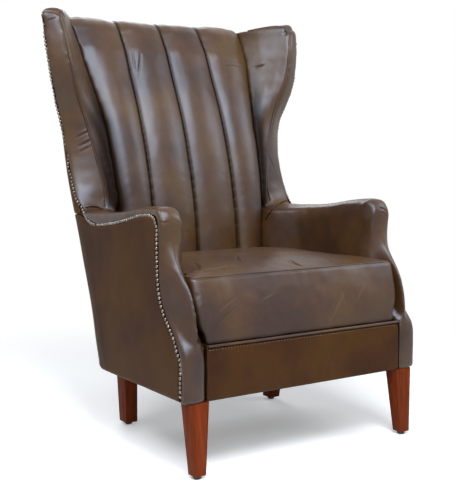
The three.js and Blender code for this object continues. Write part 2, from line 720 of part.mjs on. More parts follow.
for (const [hand, side] of sides) {
  add(`arm_post_${hand}`, panel(1, armPostLevels.length - 1, (i, j, w) => {
    const level = armPostLevels[j];
    const y = armPostFrontAt(level) + w * armPostDepth;
    const z = level === armPostTop ? armRailUnderAt(y) - clearance : level;
    return new THREE.Vector3(side * mix(boardInner, boardOuter, i), y, z);
  }), beech);

  add(`side_rail_${hand}`, panel(1, sideRailLevels.length - 1, (i, j, w) => {
    const z = sideRailLevels[j];
    const front = armPostFrontAt(z) + armPostDepth + clearance;
    const y = mix(front, postFrontAt(z) - padGap / 2, i);
    const x = boardInner + w * boardThickness - i * sideRailRearInset;
    return new THREE.Vector3(side * x, y, z);
  }), beech);

  add(`arm_rail_${hand}`, panel(1, 1, (i, j, w) => {
    const top = mix(armRailFrontTop, armRailRearTop, i);
    const y = mix(armRailFront, armRailRear - armRailLean * (1 - j), i);
    const x = boardInner + w * (boardThickness - i * armRailRearInset);
    return new THREE.Vector3(side * x, y, top - (1 - j) * armRailDepth);
  }), beech);

  const cornerBlockTop = seatRailTop - cornerBlockDrop;
  const blockInner = boardInner - clearance;
  const block = (points) => {
    const shape = new THREE.Shape(points.map(([x, y]) => new THREE.Vector2(side * x, y)));
    const depth = cornerBlockTop - frameFoot;
    const prism = new THREE.ExtrudeGeometry(shape, { depth, bevelEnabled: false });
    prism.translate(0, 0, frameFoot);
    return prism;
  };
  const front = frontRailRear + clearance;
  const sideSlope = sideRailRearInset / (postFrontAt(frameFoot) - frontRailRear);
  const nose = armPostFrontAt(seatRailTop - cornerBlockDrop) + padGap;
  const blockSide = frontRailHalf + padGap;
  const frontBlock = [
    [blockInner, nose], [blockInner - 2 * cornerBlockLeg * sideSlope, front + cornerBlockLeg],
    [blockInner - cornerBlockLeg, front], [blockSide, front], [blockSide, nose],
  ];
  const frontBore = boltBore(side * frontBolt.x, frontBolt.y);
  add(`corner_block_front_${hand}`, cutFrom(block(frontBlock), frontBore), beech);
  const rear = postFrontAt(frameFoot) - clearance;
  const rearInner = blockInner - sideRailRearInset;
  const rearBlock = [
    [rearInner, rear], [rearInner - cornerBlockLeg, rear], [rearInner, rear - cornerBlockLeg],
  ];
  add(`corner_block_rear_${hand}`, block(rearBlock), beech);
}

// Frame: plywood wing boards, set in from the outer surface and butted to the posts
for (const [hand, side] of sides) {
  const levels = levelsBetween(wingBoardFoot, wingBoardTop);
  add(`wing_board_${hand}`, panel(1, levels.length - 1, (i, j, w) => {
    const z = levels[j];
    const outline = outlineAt(z, wingEdgeAt(z));
    const inset = wingBoardInset + w * wingBoardThickness;
    const depth = postFrontAt(z) - clearance - outline.edge.y + outline.outward.y * inset;
    const p = outline.edge.clone().addScaledVector(outline.outward, -inset);
    p.addScaledVector(outline.along, mix(wingBoardNose, depth / outline.along.y, i));
    return new THREE.Vector3(side * p.x, p.y, z);
  }), plywood);
}

// Seat suspension: serpentine springs between two steel bars, under a padded deck
const springZ = seatRailTop - springDrop - springWireRadius;
const springBarBottom = seatRailTop - springBarHeight - springDrop / 2;
const springBarTop = springBarBottom + springBarHeight;
const rearRailFrontAt = (z) => outsideBackAt(z) - coverThickness - padGap - backRailThickness;
const rearBarRear = rearRailFrontAt(springBarBottom) - clearance;
const springBar = (front) => taperedBlock(
  { inner: -springBarHalfLength, outer: springBarHalfLength, front, rear: front + springBarThickness },
  springBarBottom,
  { inner: -springBarHalfLength, outer: springBarHalfLength, front, rear: front + springBarThickness },
  springBarTop,
);
const frontBarFront = frontRailRear + clearance;
add('spring_bar_front', springBar(frontBarFront), steel);
add('spring_bar_rear', springBar(rearBarRear - springBarThickness), steel);

const springTurnShare = 0.8;
const springWireSteps = 5;
const springStepsPerLoop = 4;

function serpentine(x, from, to) {
  const pitch = (to - from) / springHalfLoops;
  const turn = pitch / 2;
  const points = [new THREE.Vector3(x, from, springZ), new THREE.Vector3(x, from + turn / 2, springZ)];
  for (let k = 0; k < springHalfLoops - 1; k += 1) {
    const swing = (k % 2 ? -1 : 1) * springAmplitude;
    const y = from + (k + 1) * pitch;
    points.push(new THREE.Vector3(x + swing * springTurnShare, y - turn, springZ));
    points.push(new THREE.Vector3(x + swing, y, springZ));
    points.push(new THREE.Vector3(x + swing * springTurnShare, y + turn, springZ));
  }
  points.push(new THREE.Vector3(x, to - turn / 2, springZ), new THREE.Vector3(x, to, springZ));
  const path = new THREE.CatmullRomCurve3(points);
  const wire = new THREE.EllipseCurve(0, 0, springWireRadius, springWireRadius);
  const section = new THREE.Shape(wire.getPoints(springWireSteps));
  const steps = springHalfLoops * springStepsPerLoop;
  return new THREE.ExtrudeGeometry(section, { steps, extrudePath: path, bevelEnabled: false });
}

const springFrom = frontBarFront + springBarThickness + clearance;
const springTo = rearBarRear - springBarThickness - clearance;
for (let k = 0; k < springCount; k += 1) {
  const x = (k - (springCount - 1) / 2) * springPitch;
  add(`seat_spring_${k + 1}`, serpentine(x, springFrom, springTo), steel);
}

const deckBottom = seatRailTop + clearance;
const deckFront = frontRailRear + clearance;
const deckRear = outsideBackAt(seatRailTop) - coverThickness - padGap;
const deckNotchFront = postFrontAt(seatRailTop) - padGap;
const deckNotchInner = backRailHalf - clearance;
const deckHalfWidth = boardInner - deckSideGap;
const deckHalf = [
  [deckHalfWidth, deckFront], [deckHalfWidth, deckNotchFront], [deckNotchInner, deckNotchFront],
  [deckNotchInner, deckRear],
];
const deckOutline = [...deckHalf, ...deckHalf.map(([x, y]) => [-x, y]).reverse()];
const deckShape = new THREE.Shape(deckOutline.map(([x, y]) => new THREE.Vector2(x, y)));
const deck = new THREE.ExtrudeGeometry(deckShape, { depth: deckThickness, bevelEnabled: false });
deck.translate(0, 0, deckBottom);
add('seat_deck', deck, liningCloth);

// Back webbing, stapled between the posts
const webbingHeights = [armHeight - webbingArmDrop, mix(armHeight, overallHeight, webbingBackShare)];
webbingHeights.forEach((middle, k) => {
  add(`back_webbing_${k + 1}`, panel(1, 2, (i, j, w) => {
    const z = middle + (j - 1) * webbingWidth / 2;
    const y = postFrontAt(z) + clearance + w * webbingThickness;
    return new THREE.Vector3(mix(-backRailHalf, backRailHalf, i), y, z);
  }), juteWebbing);
});

// Dust cover under the frame, notched around the legs
const coverHalf = boardOuter - padGap;
const rearNotch = rearTop.front - padGap;
const dustHalf = [
  [frontTop.inner - padGap, frontRailFront], [frontTop.inner - padGap, frontTop.rear + padGap],
  [coverHalf, frontTop.rear + padGap], [coverHalf, rearNotch - rearCornerReach / 2],
  [rearTop.outer + rearCornerReach / 3, rearNotch],
  [rearTop.inner - padGap, rearNotch],
  [rearTop.inner - padGap, legBack - coverThickness - padGap],
];
const dustOutline = [...dustHalf, ...dustHalf.map(([x, y]) => [-x, y]).reverse()];
const dustShape = new THREE.Shape(dustOutline.map(([x, y]) => new THREE.Vector2(x, y)));
const dustCover = new THREE.ExtrudeGeometry(dustShape, { depth: dustCoverThickness, bevelEnabled: false });
dustCover.translate(0, 0, frameFoot - clearance - dustCoverThickness);
add('dust_cover', dustCover, liningCloth);

// Outside covers: each side wraps the rear corner and meets the back panel there
const armStraightSteps = 7;
const wingStraightSteps = 3;

function sideOutlinePoint(outline, i, straightSteps, inset) {
  if (i >= straightSteps) return bendPoint(outline, (i - straightSteps) / bendSteps, inset);
  const p = outline.edge.clone().lerp(outline.bendStart, i / straightSteps);
  return p.addScaledVector(outline.outward, -inset);
}

for (const [hand, side] of sides) {
  add(`outside_arm_${hand}`, panel(armStraightSteps + bendSteps, armRows, (i, j, w) => {
    const topGuess = outlineAt(outsideArmRearTop, armEdgeAt(outsideArmRearTop));
    const along = sideOutlinePoint(topGuess, i, armStraightSteps, 0).y;
    const onArm = i < armStraightSteps;
    const top = onArm ? Math.min(nailHeightAt(along) - seamGap, outsideArmFrontTop) : outsideArmRearTop;
    const z = mix(railUnderside, top, armRowShares[j]);
    const p = sideOutlinePoint(outlineAt(z, armEdgeAt(z)), i, armStraightSteps, w * coverThickness);
    return new THREE.Vector3(side * p.x, p.y, z);
  }), leather);

  const wingLevels = [outsideArmRearTop + seamGap, ...highLevels];
  add(`outside_wing_${hand}`, panel(wingStraightSteps + bendSteps, wingLevels.length - 1, (i, j, w) => {
    const z = wingLevels[j];
    const front = wingEdgeAt(Math.max(z, wingFoot));
    const outline = outlineAt(z, front);
    outline.edge = front.clone().addScaledVector(outline.along, nailEdge);
    const p = sideOutlinePoint(outline, i, wingStraightSteps, w * coverThickness);
    return new THREE.Vector3(side * p.x, p.y, z);
  }), leather);
}

const backColumns = 8;
add('outside_back', panel(backColumns, backLevels.length - 1, (i, j, w) => {
  const z = backLevels[j];
  const half = cornerHalfAt(z) - cornerReachAt(z) - clearance;
  const across = mix(-1, 1, i / backColumns);
  const bulge = outsideBackBulge * (1 - across * across);
  return new THREE.Vector3(across * half, outsideBackAt(z) + bulge - w * coverThickness, z);
}), leather);

// Leather band over the front rail, turned in over the rail's top under the cushion
const deckTop = deckBottom + deckThickness;
const bandHalf = armFaceInnerFoot - padGap;
const bandRear = frontRailRear;
const bandBack = bodyFront + railCoverThickness;
const bandNose = cornerRound / 3;
const bandProfile = [
  [bodyFront + padGap, railUnderside], [bodyFront - faceCrown / 3, railUnderside + bandNose],
  [bodyFront - faceCrown, (railUnderside + deckTop) / 2], [bodyFront, deckTop - cornerRound],
  [bodyFront + bandNose, deckTop - bandNose], [bodyFront + 2 * bandNose, deckTop], [bandRear, deckTop],
  [bandRear, deckBottom], [bandBack, deckBottom], [bandBack, railUnderside],
];
add('front_rail_cover', skin([-1, 1].map((end) => bandProfile.map(([y, z]) => (
  new THREE.Vector3(end * bandHalf, y, z)
)))), leather);

// Front pad of an arm: up the shaped front, then bent back over the top corner
const padBendSteps = 4;

function frontPadRing(z, side, place) {
  const inner = armFaceInnerAt(z);
  const middle = (inner + bodyHalfWidth) / 2;
  const r = cornerRound;
  const across = [
    [bodyHalfWidth, frontPadDepth], [bodyHalfWidth, r],
    [bodyHalfWidth - r / 4, r / 4], [bodyHalfWidth - r, 0], [middle, -faceCrown],
    [inner + r, 0], [inner + r / 4, r / 4], [inner, r], [inner, frontPadDepth],
  ];
  return across.map(([x, depth]) => place(side * x, depth));
}

for (const [hand, side] of sides) {
  const rings = [...armPostLevels, bendHeight].map((z) => (
    frontPadRing(z, side, (x, depth) => new THREE.Vector3(x, armFrontAt(z) + depth, z))
  ));
  for (let k = 1; k <= padBendSteps; k += 1) {
    const turn = (Math.PI / 2) * (k / padBendSteps);
    rings.push(frontPadRing(armHeight, side, (x, depth) => {
      const radius = armTopRadius - depth;
      return new THREE.Vector3(x, bendDepth - radius * Math.cos(turn), bendHeight + radius * Math.sin(turn));
    }));
  }
  add(`arm_front_pad_${hand}`, skin(rings), leather);
}

// Arm pad: inside face, rounded top and the lip down to the nail line, as one leather-covered pad
const armPadBottom = deckTop + clearance;
const armPadHeightSteps = 4;
const lipInner = bodyHalfWidth - coverThickness;
const lipStep = 2;
const wingSkinStart = wingEdgeAt(wingFoot).y + nailEdge;

// Outer half width of the arm pad, drawn in behind the outside cover of the wing
function armPadOuterAt(y, z) {
  const covered = halfWidthAt(outlineAt(z, armEdgeAt(z)), y, coverThickness + padGap);
  return y < wingSkinStart - lipStep ? bodyHalfWidth : Math.min(covered, lipInner - padGap);
}

function armPadRing(t, side) {
  const depthAt = (nominal, z) => mix(behindFrontPad(nominal, 2 * padGap), postFrontAt(z) - padGap, t);
  const point = (x, nominal, z) => new THREE.Vector3(side * x, depthAt(nominal, z), z);
  const dipAt = (nominal) => {
    const share = smooth((nominal - cushionSeam) / (armHeight - cushionSeam));
    const guess = depthAt(nominal, nominal - armDip * share);
    return armDipAt(guess) * share;
  };
  const inside = (nominal) => {
    const z = nominal - dipAt(nominal);
    return point(armInnerAt(depthAt(nominal, z), z), nominal, z);
  };
  const crestZ = armHeight - dipAt(armHeight);
  const top = depthAt(armHeight, crestZ);
  const sweep = smooth((top - armSweepStart) / (armSweepEnd - armSweepStart));
  const outer = armPadOuterAt(top, crestZ);
  const crest = (x, below) => {
    const share = Math.max((boardInner - x) / (boardInner - armFaceInnerCrest), 0);
    const inward = (armFaceInnerCrest - padHalfAt(armHeight)) * share * sweep;
    return point(Math.min(x, outer) - inward, armHeight, crestZ - below);
  };
  const lipZ = nailHeightAt(top) + seamGap;
  const lipBack = outer < bodyHalfWidth ? outer - lipStep : lipInner;
  const boardFace = boardInner - clearance;
  const heights = [];
  for (let k = 0; k <= armPadHeightSteps; k += 1) {
    heights.push(mix(armPadBottom, cushionSeam, k / armPadHeightSteps));
  }
  const middle = mix(cushionSeam, bendHeight, armBackShare);
  const bendInner = bendHeight + armTopRadius - frontPadDepth + padGap;
  const crown = armTopRadius / 2;
  const underAt = (k, nominal) => {
    const x = mix(boardFace, lipBack - lipStep, armUnderShares[k]);
    const y = depthAt(nominal, armRailRearTop);
    return new THREE.Vector3(side * x, y, armRailTopAt(y) + clearance);
  };
  const pairs = [
    ...heights.map((z) => [inside(z), point(boardFace, z, z)]),
    [inside(middle), point(boardFace, middle, middle - armDip / 4)],
    [inside(bendHeight), underAt(0, armRailFrontTop)],
    [inside(bendInner), underAt(1, armHeight)],
    [crest(armFaceInnerCrest + crown / 4, crown / 2), underAt(2, armHeight)],
    [crest(armFaceInnerCrest + crown, faceCrown / 2), underAt(3, armHeight)],
    [crest(boardInner + cornerRound, 0), underAt(4, armHeight)],
    [crest(outer - cornerRound, faceCrown), underAt(5, armHeight)],
    [crest(outer - faceCrown / 2, crown / 3), point(lipBack - lipStep, armHeight, lipZ - lipStep - padGap)],
    [point(outer, armHeight, lipZ), point(lipBack, armHeight, lipZ)],
  ];
  return [...pairs.map(([front]) => front), ...pairs.map(([, back]) => back).reverse()];
}

for (const [hand, side] of sides) {
  const rings = armPadShares.map((t) => armPadRing(t, side));
  add(`arm_pad_${hand}`, skin(rings, ladderTriangles), leather);
}

// Wing pad: rounded front face, inner face and cap over the top of one wing
const wingPadFoot = armHeight - armDip + padGap + seamGap / 3;
const wingPadSeam = outsideBackTop + clearance;
const lipReach = nailEdge - clearance - seamGap / 3;
const wingPlan = { base: 0, filled: 1, cap: 2 };

function wingFaceAt(z) {
  const share = levelShare(Math.max(z, wingFoot));
  const outer = wingEdgeAt(Math.max(z, wingFoot));
  const across = wingFaceWidth * follow(faceAcrossShares, share);
  const forward = wingFaceWidth * follow(faceForwardShares, share);
  return { outer, inner: new THREE.Vector2(outer.x - across, outer.y - forward) };
}

// Plan ring of the wing pad: hollow around the wing board, or filling the wing above it
function wingPadRing(z, plan) {
  const { outer, inner } = wingFaceAt(z);
  const outline = outlineAt(z, outer);
  const at = (reach, depth) => (
    outer.clone().addScaledVector(outline.along, reach).addScaledVector(outline.outward, -depth)
  );
  const face = inner.clone().sub(outer);
  const faceOut = new THREE.Vector2(-face.y, face.x).normalize();
  const half = padHalfAt(z) + padGap;
  const joint = new THREE.Vector2(half, seamDepthAt(z) + 2 * padGap);
  const inward = joint.clone().sub(inner);
  const inwardOut = new THREE.Vector2(-inward.y, inward.x).normalize();
  const front = [
    at(lipReach, 0), at(2 * padGap, 0),
    ...wingFaceShares.map(([t, out]) => (
      outer.clone().addScaledVector(face, t).addScaledVector(faceOut, out * faceCrown)
    )),
    ...wingInnerShares.map((t) => (
      inner.clone().addScaledVector(inward, t).addScaledVector(inwardOut, wingBulge * Math.sin(Math.PI * t))
    )),
    joint,
  ];
  const skinInset = coverThickness + padGap;
  if (plan === wingPlan.base) {
    const postFront = postFrontAt(z) - padGap;
    const boardDepth = wingBoardInset + wingBoardThickness + padGap;
    const rearReach = (depth) => (postFront - outer.y + outline.outward.y * depth) / outline.along.y;
    const nose = (depth) => Math.min(wingBoardNose - seamGap, rearReach(depth) - seamGap);
    const boardRear = at(rearReach(boardDepth), boardDepth);
    return [
      ...front, new THREE.Vector2(half, postFront),
      new THREE.Vector2((half + boardRear.x) / 2, postFront - clearance), boardRear,
      at(nose(boardDepth), boardDepth), at(nose(skinInset), skinInset),
      at(Math.min(lipReach, nose(skinInset) - padGap), skinInset),
    ];
  }
  const inset = plan === wingPlan.cap ? 0 : skinInset;
  const backInner = bendWhere(outline, inset, (p) => p.x <= half + padGap);
  return [
    ...front, new THREE.Vector2(half, backInner.y),
    ...wingBendShares.map((t) => bendPoint(outline, t, inset)),
    at(wingBoardNose, inset + clearance),
    at(inset ? lipReach - clearance : lipReach + padGap, inset + clearance),
  ];
}

// The cap of the wing, drawn in towards its middle line
function wingCapRing(draw) {
  const ring = wingPadRing(wingPadSeam, wingPlan.cap);
  const { outer, inner } = wingFaceAt(wingPadSeam);
  const { along } = outlineAt(wingPadSeam, outer);
  const start = outer.clone().lerp(inner, 0.5).addScaledVector(along, wingFaceWidth / 2);
  const [backInner, , bend] = ring.slice(-3 - wingBendShares.length);
  const end = backInner.clone().lerp(bend, 0.5);
  const spine = end.clone().sub(start);
  return ring.map((p) => {
    const t = Math.min(Math.max(p.clone().sub(start).dot(spine) / spine.lengthSq(), 0), 1);
    return p.clone().lerp(start.clone().addScaledVector(spine, t), draw);
  });
}

for (const [hand, side] of sides) {
  const lift = (ring, z, rise = 0) => ring.map((p) => {
    const forward = smooth((topSeamDepth - p.y) / (topSeamDepth - wingTipDepth));
    return new THREE.Vector3(side * p.x, p.y, z + rise * forward);
  });
  const ledge = postTop + padGap;
  const baseLevels = [wingPadFoot, ...highLevels.filter((z) => z < postTop), ledge];
  const rings = baseLevels.map((z) => lift(wingPadRing(z, wingPlan.base), z));
  rings.push(lift(wingPadRing(ledge, wingPlan.filled), ledge + clearance));
  rings.push(lift(wingPadRing(wingPadSeam, wingPlan.filled), wingPadSeam));
  rings.push(lift(wingPadRing(wingPadSeam, wingPlan.cap), wingPadSeam + clearance));
  for (const [draw, share] of wingRoundShares) {
    rings.push(lift(wingCapRing(draw), mix(wingPadSeam + padGap, wingTop, share), wingTopRise));
  }
  add(`wing_pad_${hand}`, skin(rings), leather);
}

// Inside back: one pad with four upright channels, rolled over the top rail
const channelSteps = 4;
const padAcross = [];
for (let channel = -2; channel < 2; channel += 1) {
  for (let k = 0; k < channelSteps; k += 1) padAcross.push([channel, k / channelSteps]);
}
padAcross.push([1, 1]);
const rollOutline = outlineAt(postTop, wingEdgeAt(postTop));
const rollRear = rollOutline.corner.y - coverThickness - padGap;
const rollStart = postTop - backRollStart;
const rollFrom = [seamDepthAt(rollStart), rollStart];
const rollTo = [outsideBackDepth - backRollEndInset, overallHeight - backRollCrown];
const rollStations = backRollShares.map(([back, up, crown, rearBack, rearUp]) => [
  [mix(rollFrom[0], rollTo[0], back), mix(rollFrom[1], rollTo[1], up)],
  [
    mix(postFrontAt(postTop) - seamGap, rollRear, rearBack),
    mix(postTop + padGap, outsideBackTop + seamGap, rearUp),
  ],
  channelCrown * crown,
]);

function channelPoint([channel, t], half) {
  const limits = [-half, -channelSeam, 0, channelSeam, half];
  const x = mix(limits[channel + 2], limits[channel + 3], t);
  const u = 2 * t - 1;
  return { x, crown: Math.sqrt(Math.max(1 - u * u, 0)) };
}

function backPadRing(front, rear, half, crown, normal) {
  const face = padAcross.map((place) => {
    const point = channelPoint(place, half);
    const out = crown * point.crown;
    return new THREE.Vector3(point.x, front[0] + normal[0] * out, front[1] + normal[1] * out);
  });
  const back = padAcross.map((place) => {
    const x = channelPoint(place, half).x;
    const limit = bendWhere(rollOutline, coverThickness + padGap, (p) => p.x <= Math.abs(x)).y;
    return new THREE.Vector3(x, Math.min(rear[0], limit), rear[1]);
  });
  return [...face, ...back.reverse()];
}

const padPlainTop = postTop - backRollLead;
const padLevels = [
  backPadFoot, (backPadFoot + cushionSeam) / 2, cushionSeam,
  ...levelsBetween(cushionSeam + 2 * backPadRoom, padPlainTop),
];
const padRings = padLevels.map((z) => {
  const front = seamDepthAt(z);
  const rear = Math.max(postFrontAt(z) - clearance, front + backPadRoom);
  return backPadRing([front, z], [rear, z], padHalfAt(z), channelCrown, [-1, 0]);
});
rollStations.forEach(([front, rear, crown], k) => {
  const before = k ? rollStations[k - 1][0] : [seamDepthAt(padPlainTop), padPlainTop];
  const after = k + 1 < rollStations.length ? rollStations[k + 1][0] : rear;
  const along = new THREE.Vector2(after[0] - before[0], after[1] - before[1]).normalize();
  padRings.push(backPadRing(front, rear, padHalfAt(front[1]), crown, [-along.y, along.x]));
});
add('back_pad', skin(padRings, ladderTriangles), leather);

// Loose seat cushion: T-shaped, with ears in front of the arms, a crowned top and a zip at the back
function cushionRing(z) {
  const rise = (z - cushionBottom) / (cushionSeam - cushionBottom);
  const swell = Math.sin(Math.PI * rise);
  const front = cushionFrontFoot + cushionFrontLean * rise - cushionFrontBulge * swell;
  const rear = cushionRear - cushionRearRecess * swell;
  const ear = cushionEarHalf * follow(cushionEarShares, levelShare(z));
  const earRear = cushionEarRear * follow(cushionEarRearShares, levelShare(z));
  const r = cornerRound;
  const slackAt = (y) => cushionRearSlack * smooth((y - armSweepStart) / cushionRearSlackLength + 1);
  const sideAt = (y) => armInnerAt(y, z) - cushionGap - slackAt(y);
  const sideStart = earRear + 2 * r;
  const half = [
    ...cushionFrontShares.map((share) => [ear * share, front]),
    [ear - 2 * r, front], [ear - r / 2, front + r / 4],
    [ear, front + Math.min(r, (earRear - front) / 3)], [ear - r / 8, earRear - r / 4], [ear - r / 2, earRear],
    [Math.min(sideAt(sideStart) + r / 8, ear - r / 2 - padGap), earRear + r / 2],
    ...cushionSideShares.map((t) => {
      const y = mix(sideStart, rear - r, t);
      return [sideAt(y), y];
    }),
    [sideAt(rear) - r / 2, rear - r / 4], [sideAt(rear) - 2 * r, rear], [sideAt(rear) / 3, rear],
  ];
  const right = half.map(([x, y]) => new THREE.Vector3(x, y, z));
  const left = half.map(([x, y]) => new THREE.Vector3(-x, y, z)).reverse();
  return [...right, ...left];
}

const cushionMiddlePoint = new THREE.Vector3(0, mix(cushionFrontFoot, cushionRear, cushionMiddleShare), 0);
const drawnIn = (ring, draw, z) => ring.map((p) => {
  const q = p.clone().setZ(0).lerp(cushionMiddlePoint, draw).setZ(z);
  if (Math.abs(q.x) > armFaceInnerTop - cornerRound) q.y = Math.min(q.y, cushionEarRear);
  return q;
});
const cushionRings = cushionWallShares.map((share) => cushionRing(mix(cushionBottom, cushionSeam, share)));
const cushionFoot = drawnIn(cushionRings[0], cushionFootInset / cushionMiddlePoint.y, cushionBottom);
const cushionTop = cushionCrownShares.map((share) => (
  drawnIn(cushionRing(cushionSeam), 1 - share, cushionSeam + cushionCrown * (1 - share ** cushionCrownPower))
));

function fanTriangles(ring, start) {
  const triangles = [];
  for (let i = 1; i + 1 < ring.length; i += 1) triangles.push([start, start + i, start + i + 1]);
  return triangles;
}

const cushionCore = {
  halfWidth: armFaceInnerTop - coreInset.side,
  front: cushionFrontFoot + coreInset.front,
  rear: cushionRear - coreInset.rear,
  bottom: cushionBottom + coreInset.bottom,
  top: cushionSeam - coreInset.top,
};

function roundedBlock({ halfWidth, front, rear, bottom, top }, grow) {
  const round = coreRound;
  const ring = (inset, z) => {
    const x = halfWidth + grow - inset;
    const [near, far] = [front - grow + inset, rear + grow - inset];
    return [
      [x - round, near], [x, near + round], [x, far - round], [x - round, far],
      [round - x, far], [-x, far - round], [-x, near + round], [round - x, near],
    ].map(([px, py]) => new THREE.Vector3(px, py, z));
  };
  return skin([
    ring(round, bottom - grow), ring(0, bottom - grow + round),
    ring(0, top + grow - round), ring(round, top + grow),
  ], fanTriangles);
}

function zipBox(halfLength, front, rear, halfHeight, x = 0) {
  const box = new THREE.BoxGeometry(2 * halfLength, rear - front, 2 * halfHeight);
  box.translate(x, (front + rear) / 2, zipHeight);
  return box;
}

const cushionShell = skin([cushionFoot, ...cushionRings, ...cushionTop], ladderTriangles);
const zipFace = cushionRear - cushionRearRecess * Math.sin(Math.PI * zipRise / cushionWall);
const zipFront = zipFace - zipDepth;
const zipRear = zipFace + zipProud;
const zipSlot = zipBox(zipHalfLength + clearance, cushionCore.rear, cushionRear, zipWidth / 2 + clearance);
add('cushion_cover', cutFrom(cushionShell, roundedBlock(cushionCore, clearance), zipSlot), leather);
add('cushion_core', roundedBlock(cushionCore, 0), foam);
add('zip_tape', zipBox(zipHalfLength, zipFront, zipRear, zipWidth / 2), blackNylon);

const sliderFront = zipRear + clearance;
const sliderRear = sliderFront + sliderThickness;
const sliderX = sliderLength / 2 - zipHalfLength;
const sliderShape = new THREE.Shape();
const pullRoom = pullWidth / 2;
sliderShape.moveTo(-sliderLength / 2, -pullRoom);
sliderShape.lineTo(-sliderLength / 4, -sliderHeight / 2);
sliderShape.lineTo(sliderLength / 2, -sliderHeight / 2);
sliderShape.lineTo(sliderLength / 2, -pullRoom);
sliderShape.lineTo(sliderLength / 2 + pullLength, -pullRoom);
sliderShape.lineTo(sliderLength / 2 + pullLength, pullRoom);
sliderShape.lineTo(sliderLength / 2, pullRoom);
sliderShape.lineTo(sliderLength / 2, sliderHeight / 2);
sliderShape.lineTo(-sliderLength / 4, sliderHeight / 2);
sliderShape.lineTo(-sliderLength / 2, pullRoom);
const slider = new THREE.ExtrudeGeometry(sliderShape, { depth: sliderThickness, bevelEnabled: false });
slider.rotateX(Math.PI / 2);
slider.translate(sliderX, sliderRear, zipHeight);
add('zip_slider', slider, bronze);

// Nail strips: a raised band up the front of each side, back along the arm and up the edge of the wing
const nailFrontLevels = [
  ...nailFrontShares.map((share) => mix(nailStripFoot, seatRailTop, share)),
  ...armRowLevels.filter((z) => z > seatRailTop), bendHeight - 2 * nailStripWidth,
];
const nailBackDepths = nailBackShares.map((share) => mix(nailTurnDepth, nailBackEnd, share));
const nailWingLevels = [wingFoot + padGap, ...highLevels.slice(0, -1), outsideBackTop - nailStripWidth / 2];

function nailPath(side) {
  const up = nailFrontLevels.map((z) => [
    new THREE.Vector3(bodyHalfWidth, armFrontAt(z) + nailSetback, z), new THREE.Vector3(1, 0, 0),
  ]);
  const turn = [new THREE.Vector3(bodyHalfWidth, nailTurnDepth, nailTurnHeight), new THREE.Vector3(1, 0, 0)];
  const back = nailBackDepths.map((y) => [
    new THREE.Vector3(bodyHalfWidth, y, nailHeightAt(y)), new THREE.Vector3(1, 0, 0),
  ]);
  const wing = nailWingLevels.map((z) => {
    const edge = wingEdgeAt(z);
    const { along, outward } = outlineAt(z, edge);
    const p = edge.addScaledVector(along, nailEdge + padGap);
    return [new THREE.Vector3(p.x, p.y, z), new THREE.Vector3(outward.x, outward.y, 0)];
  });
  return [...up, turn, ...back, ...wing].map(([p, normal]) => [
    new THREE.Vector3(side * p.x, p.y, p.z), new THREE.Vector3(side * normal.x, normal.y, normal.z),
  ]);
}

for (const [hand, side] of sides) {
  const path = nailPath(side);
  const rings = path.map(([p, normal], k) => {
    const before = path[Math.max(k - 1, 0)][0];
    const after = path[Math.min(k + 1, path.length - 1)][0];
    const along = after.clone().sub(before).normalize();
    const out = normal.clone().addScaledVector(along, -normal.dot(along)).normalize();
    const across = along.clone().cross(out).multiplyScalar(nailStripWidth / 2);
    const low = out.clone().multiplyScalar(nailStripLift);
    const high = out.clone().multiplyScalar(nailStripLift + nailStripThickness);
    return [
      p.clone().add(across).add(low), p.clone().sub(across).add(low),
      p.clone().addScaledVector(across, -nailStripShoulder).add(high),
      p.clone().addScaledVector(across, nailStripShoulder).add(high),
    ];
  });
  add(`nail_strip_${hand}`, skin(rings), bronze);
}

// The assembly is centred front to back on the origin
const reach = new THREE.Box3().setFromObject(chair);
const shift = -(reach.min.y + reach.max.y) / 2;
for (const mesh of chair.children) mesh.geometry.translate(0, shift, 0);

export default chair;
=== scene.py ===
# %% [markdown]
# # A wingback armchair in antiqued leather
# The chair stands on four stained legs. Its hardwood frame is hidden by leather: flat covers outside,
# padded leather inside, and a loose seat cushion. A row of domed nails runs along each side.
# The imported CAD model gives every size, so this script only dresses it. It works in metres.

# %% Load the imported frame
import math

import bmesh
import bpy
import numpy as np
from mathutils import Matrix, Vector, noise
from mathutils.bvhtree import BVHTree


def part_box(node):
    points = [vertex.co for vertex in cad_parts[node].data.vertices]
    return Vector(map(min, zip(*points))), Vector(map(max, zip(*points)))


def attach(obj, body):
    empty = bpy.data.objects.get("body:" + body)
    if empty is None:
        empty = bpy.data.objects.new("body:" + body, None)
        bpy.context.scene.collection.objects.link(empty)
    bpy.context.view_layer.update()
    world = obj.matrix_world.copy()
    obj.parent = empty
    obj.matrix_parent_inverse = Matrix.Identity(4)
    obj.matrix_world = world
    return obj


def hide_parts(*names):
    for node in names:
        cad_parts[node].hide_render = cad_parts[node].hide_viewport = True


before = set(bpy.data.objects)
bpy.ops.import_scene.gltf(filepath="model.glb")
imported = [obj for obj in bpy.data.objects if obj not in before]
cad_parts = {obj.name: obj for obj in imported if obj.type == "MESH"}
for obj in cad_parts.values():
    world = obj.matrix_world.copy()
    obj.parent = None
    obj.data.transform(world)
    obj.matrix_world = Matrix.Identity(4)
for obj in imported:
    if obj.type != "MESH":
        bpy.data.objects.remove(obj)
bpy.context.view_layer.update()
scene = bpy.context.scene
sides = {"left": -1, "right": 1}

# %% [markdown]
# ## Camera
# The picture was taken from the front left at a little over sitting height, with a long lens,
# so upright lines stay nearly parallel. A plain perspective camera with the same place, turn and
# lens gives the same view, and nothing has to be shifted.

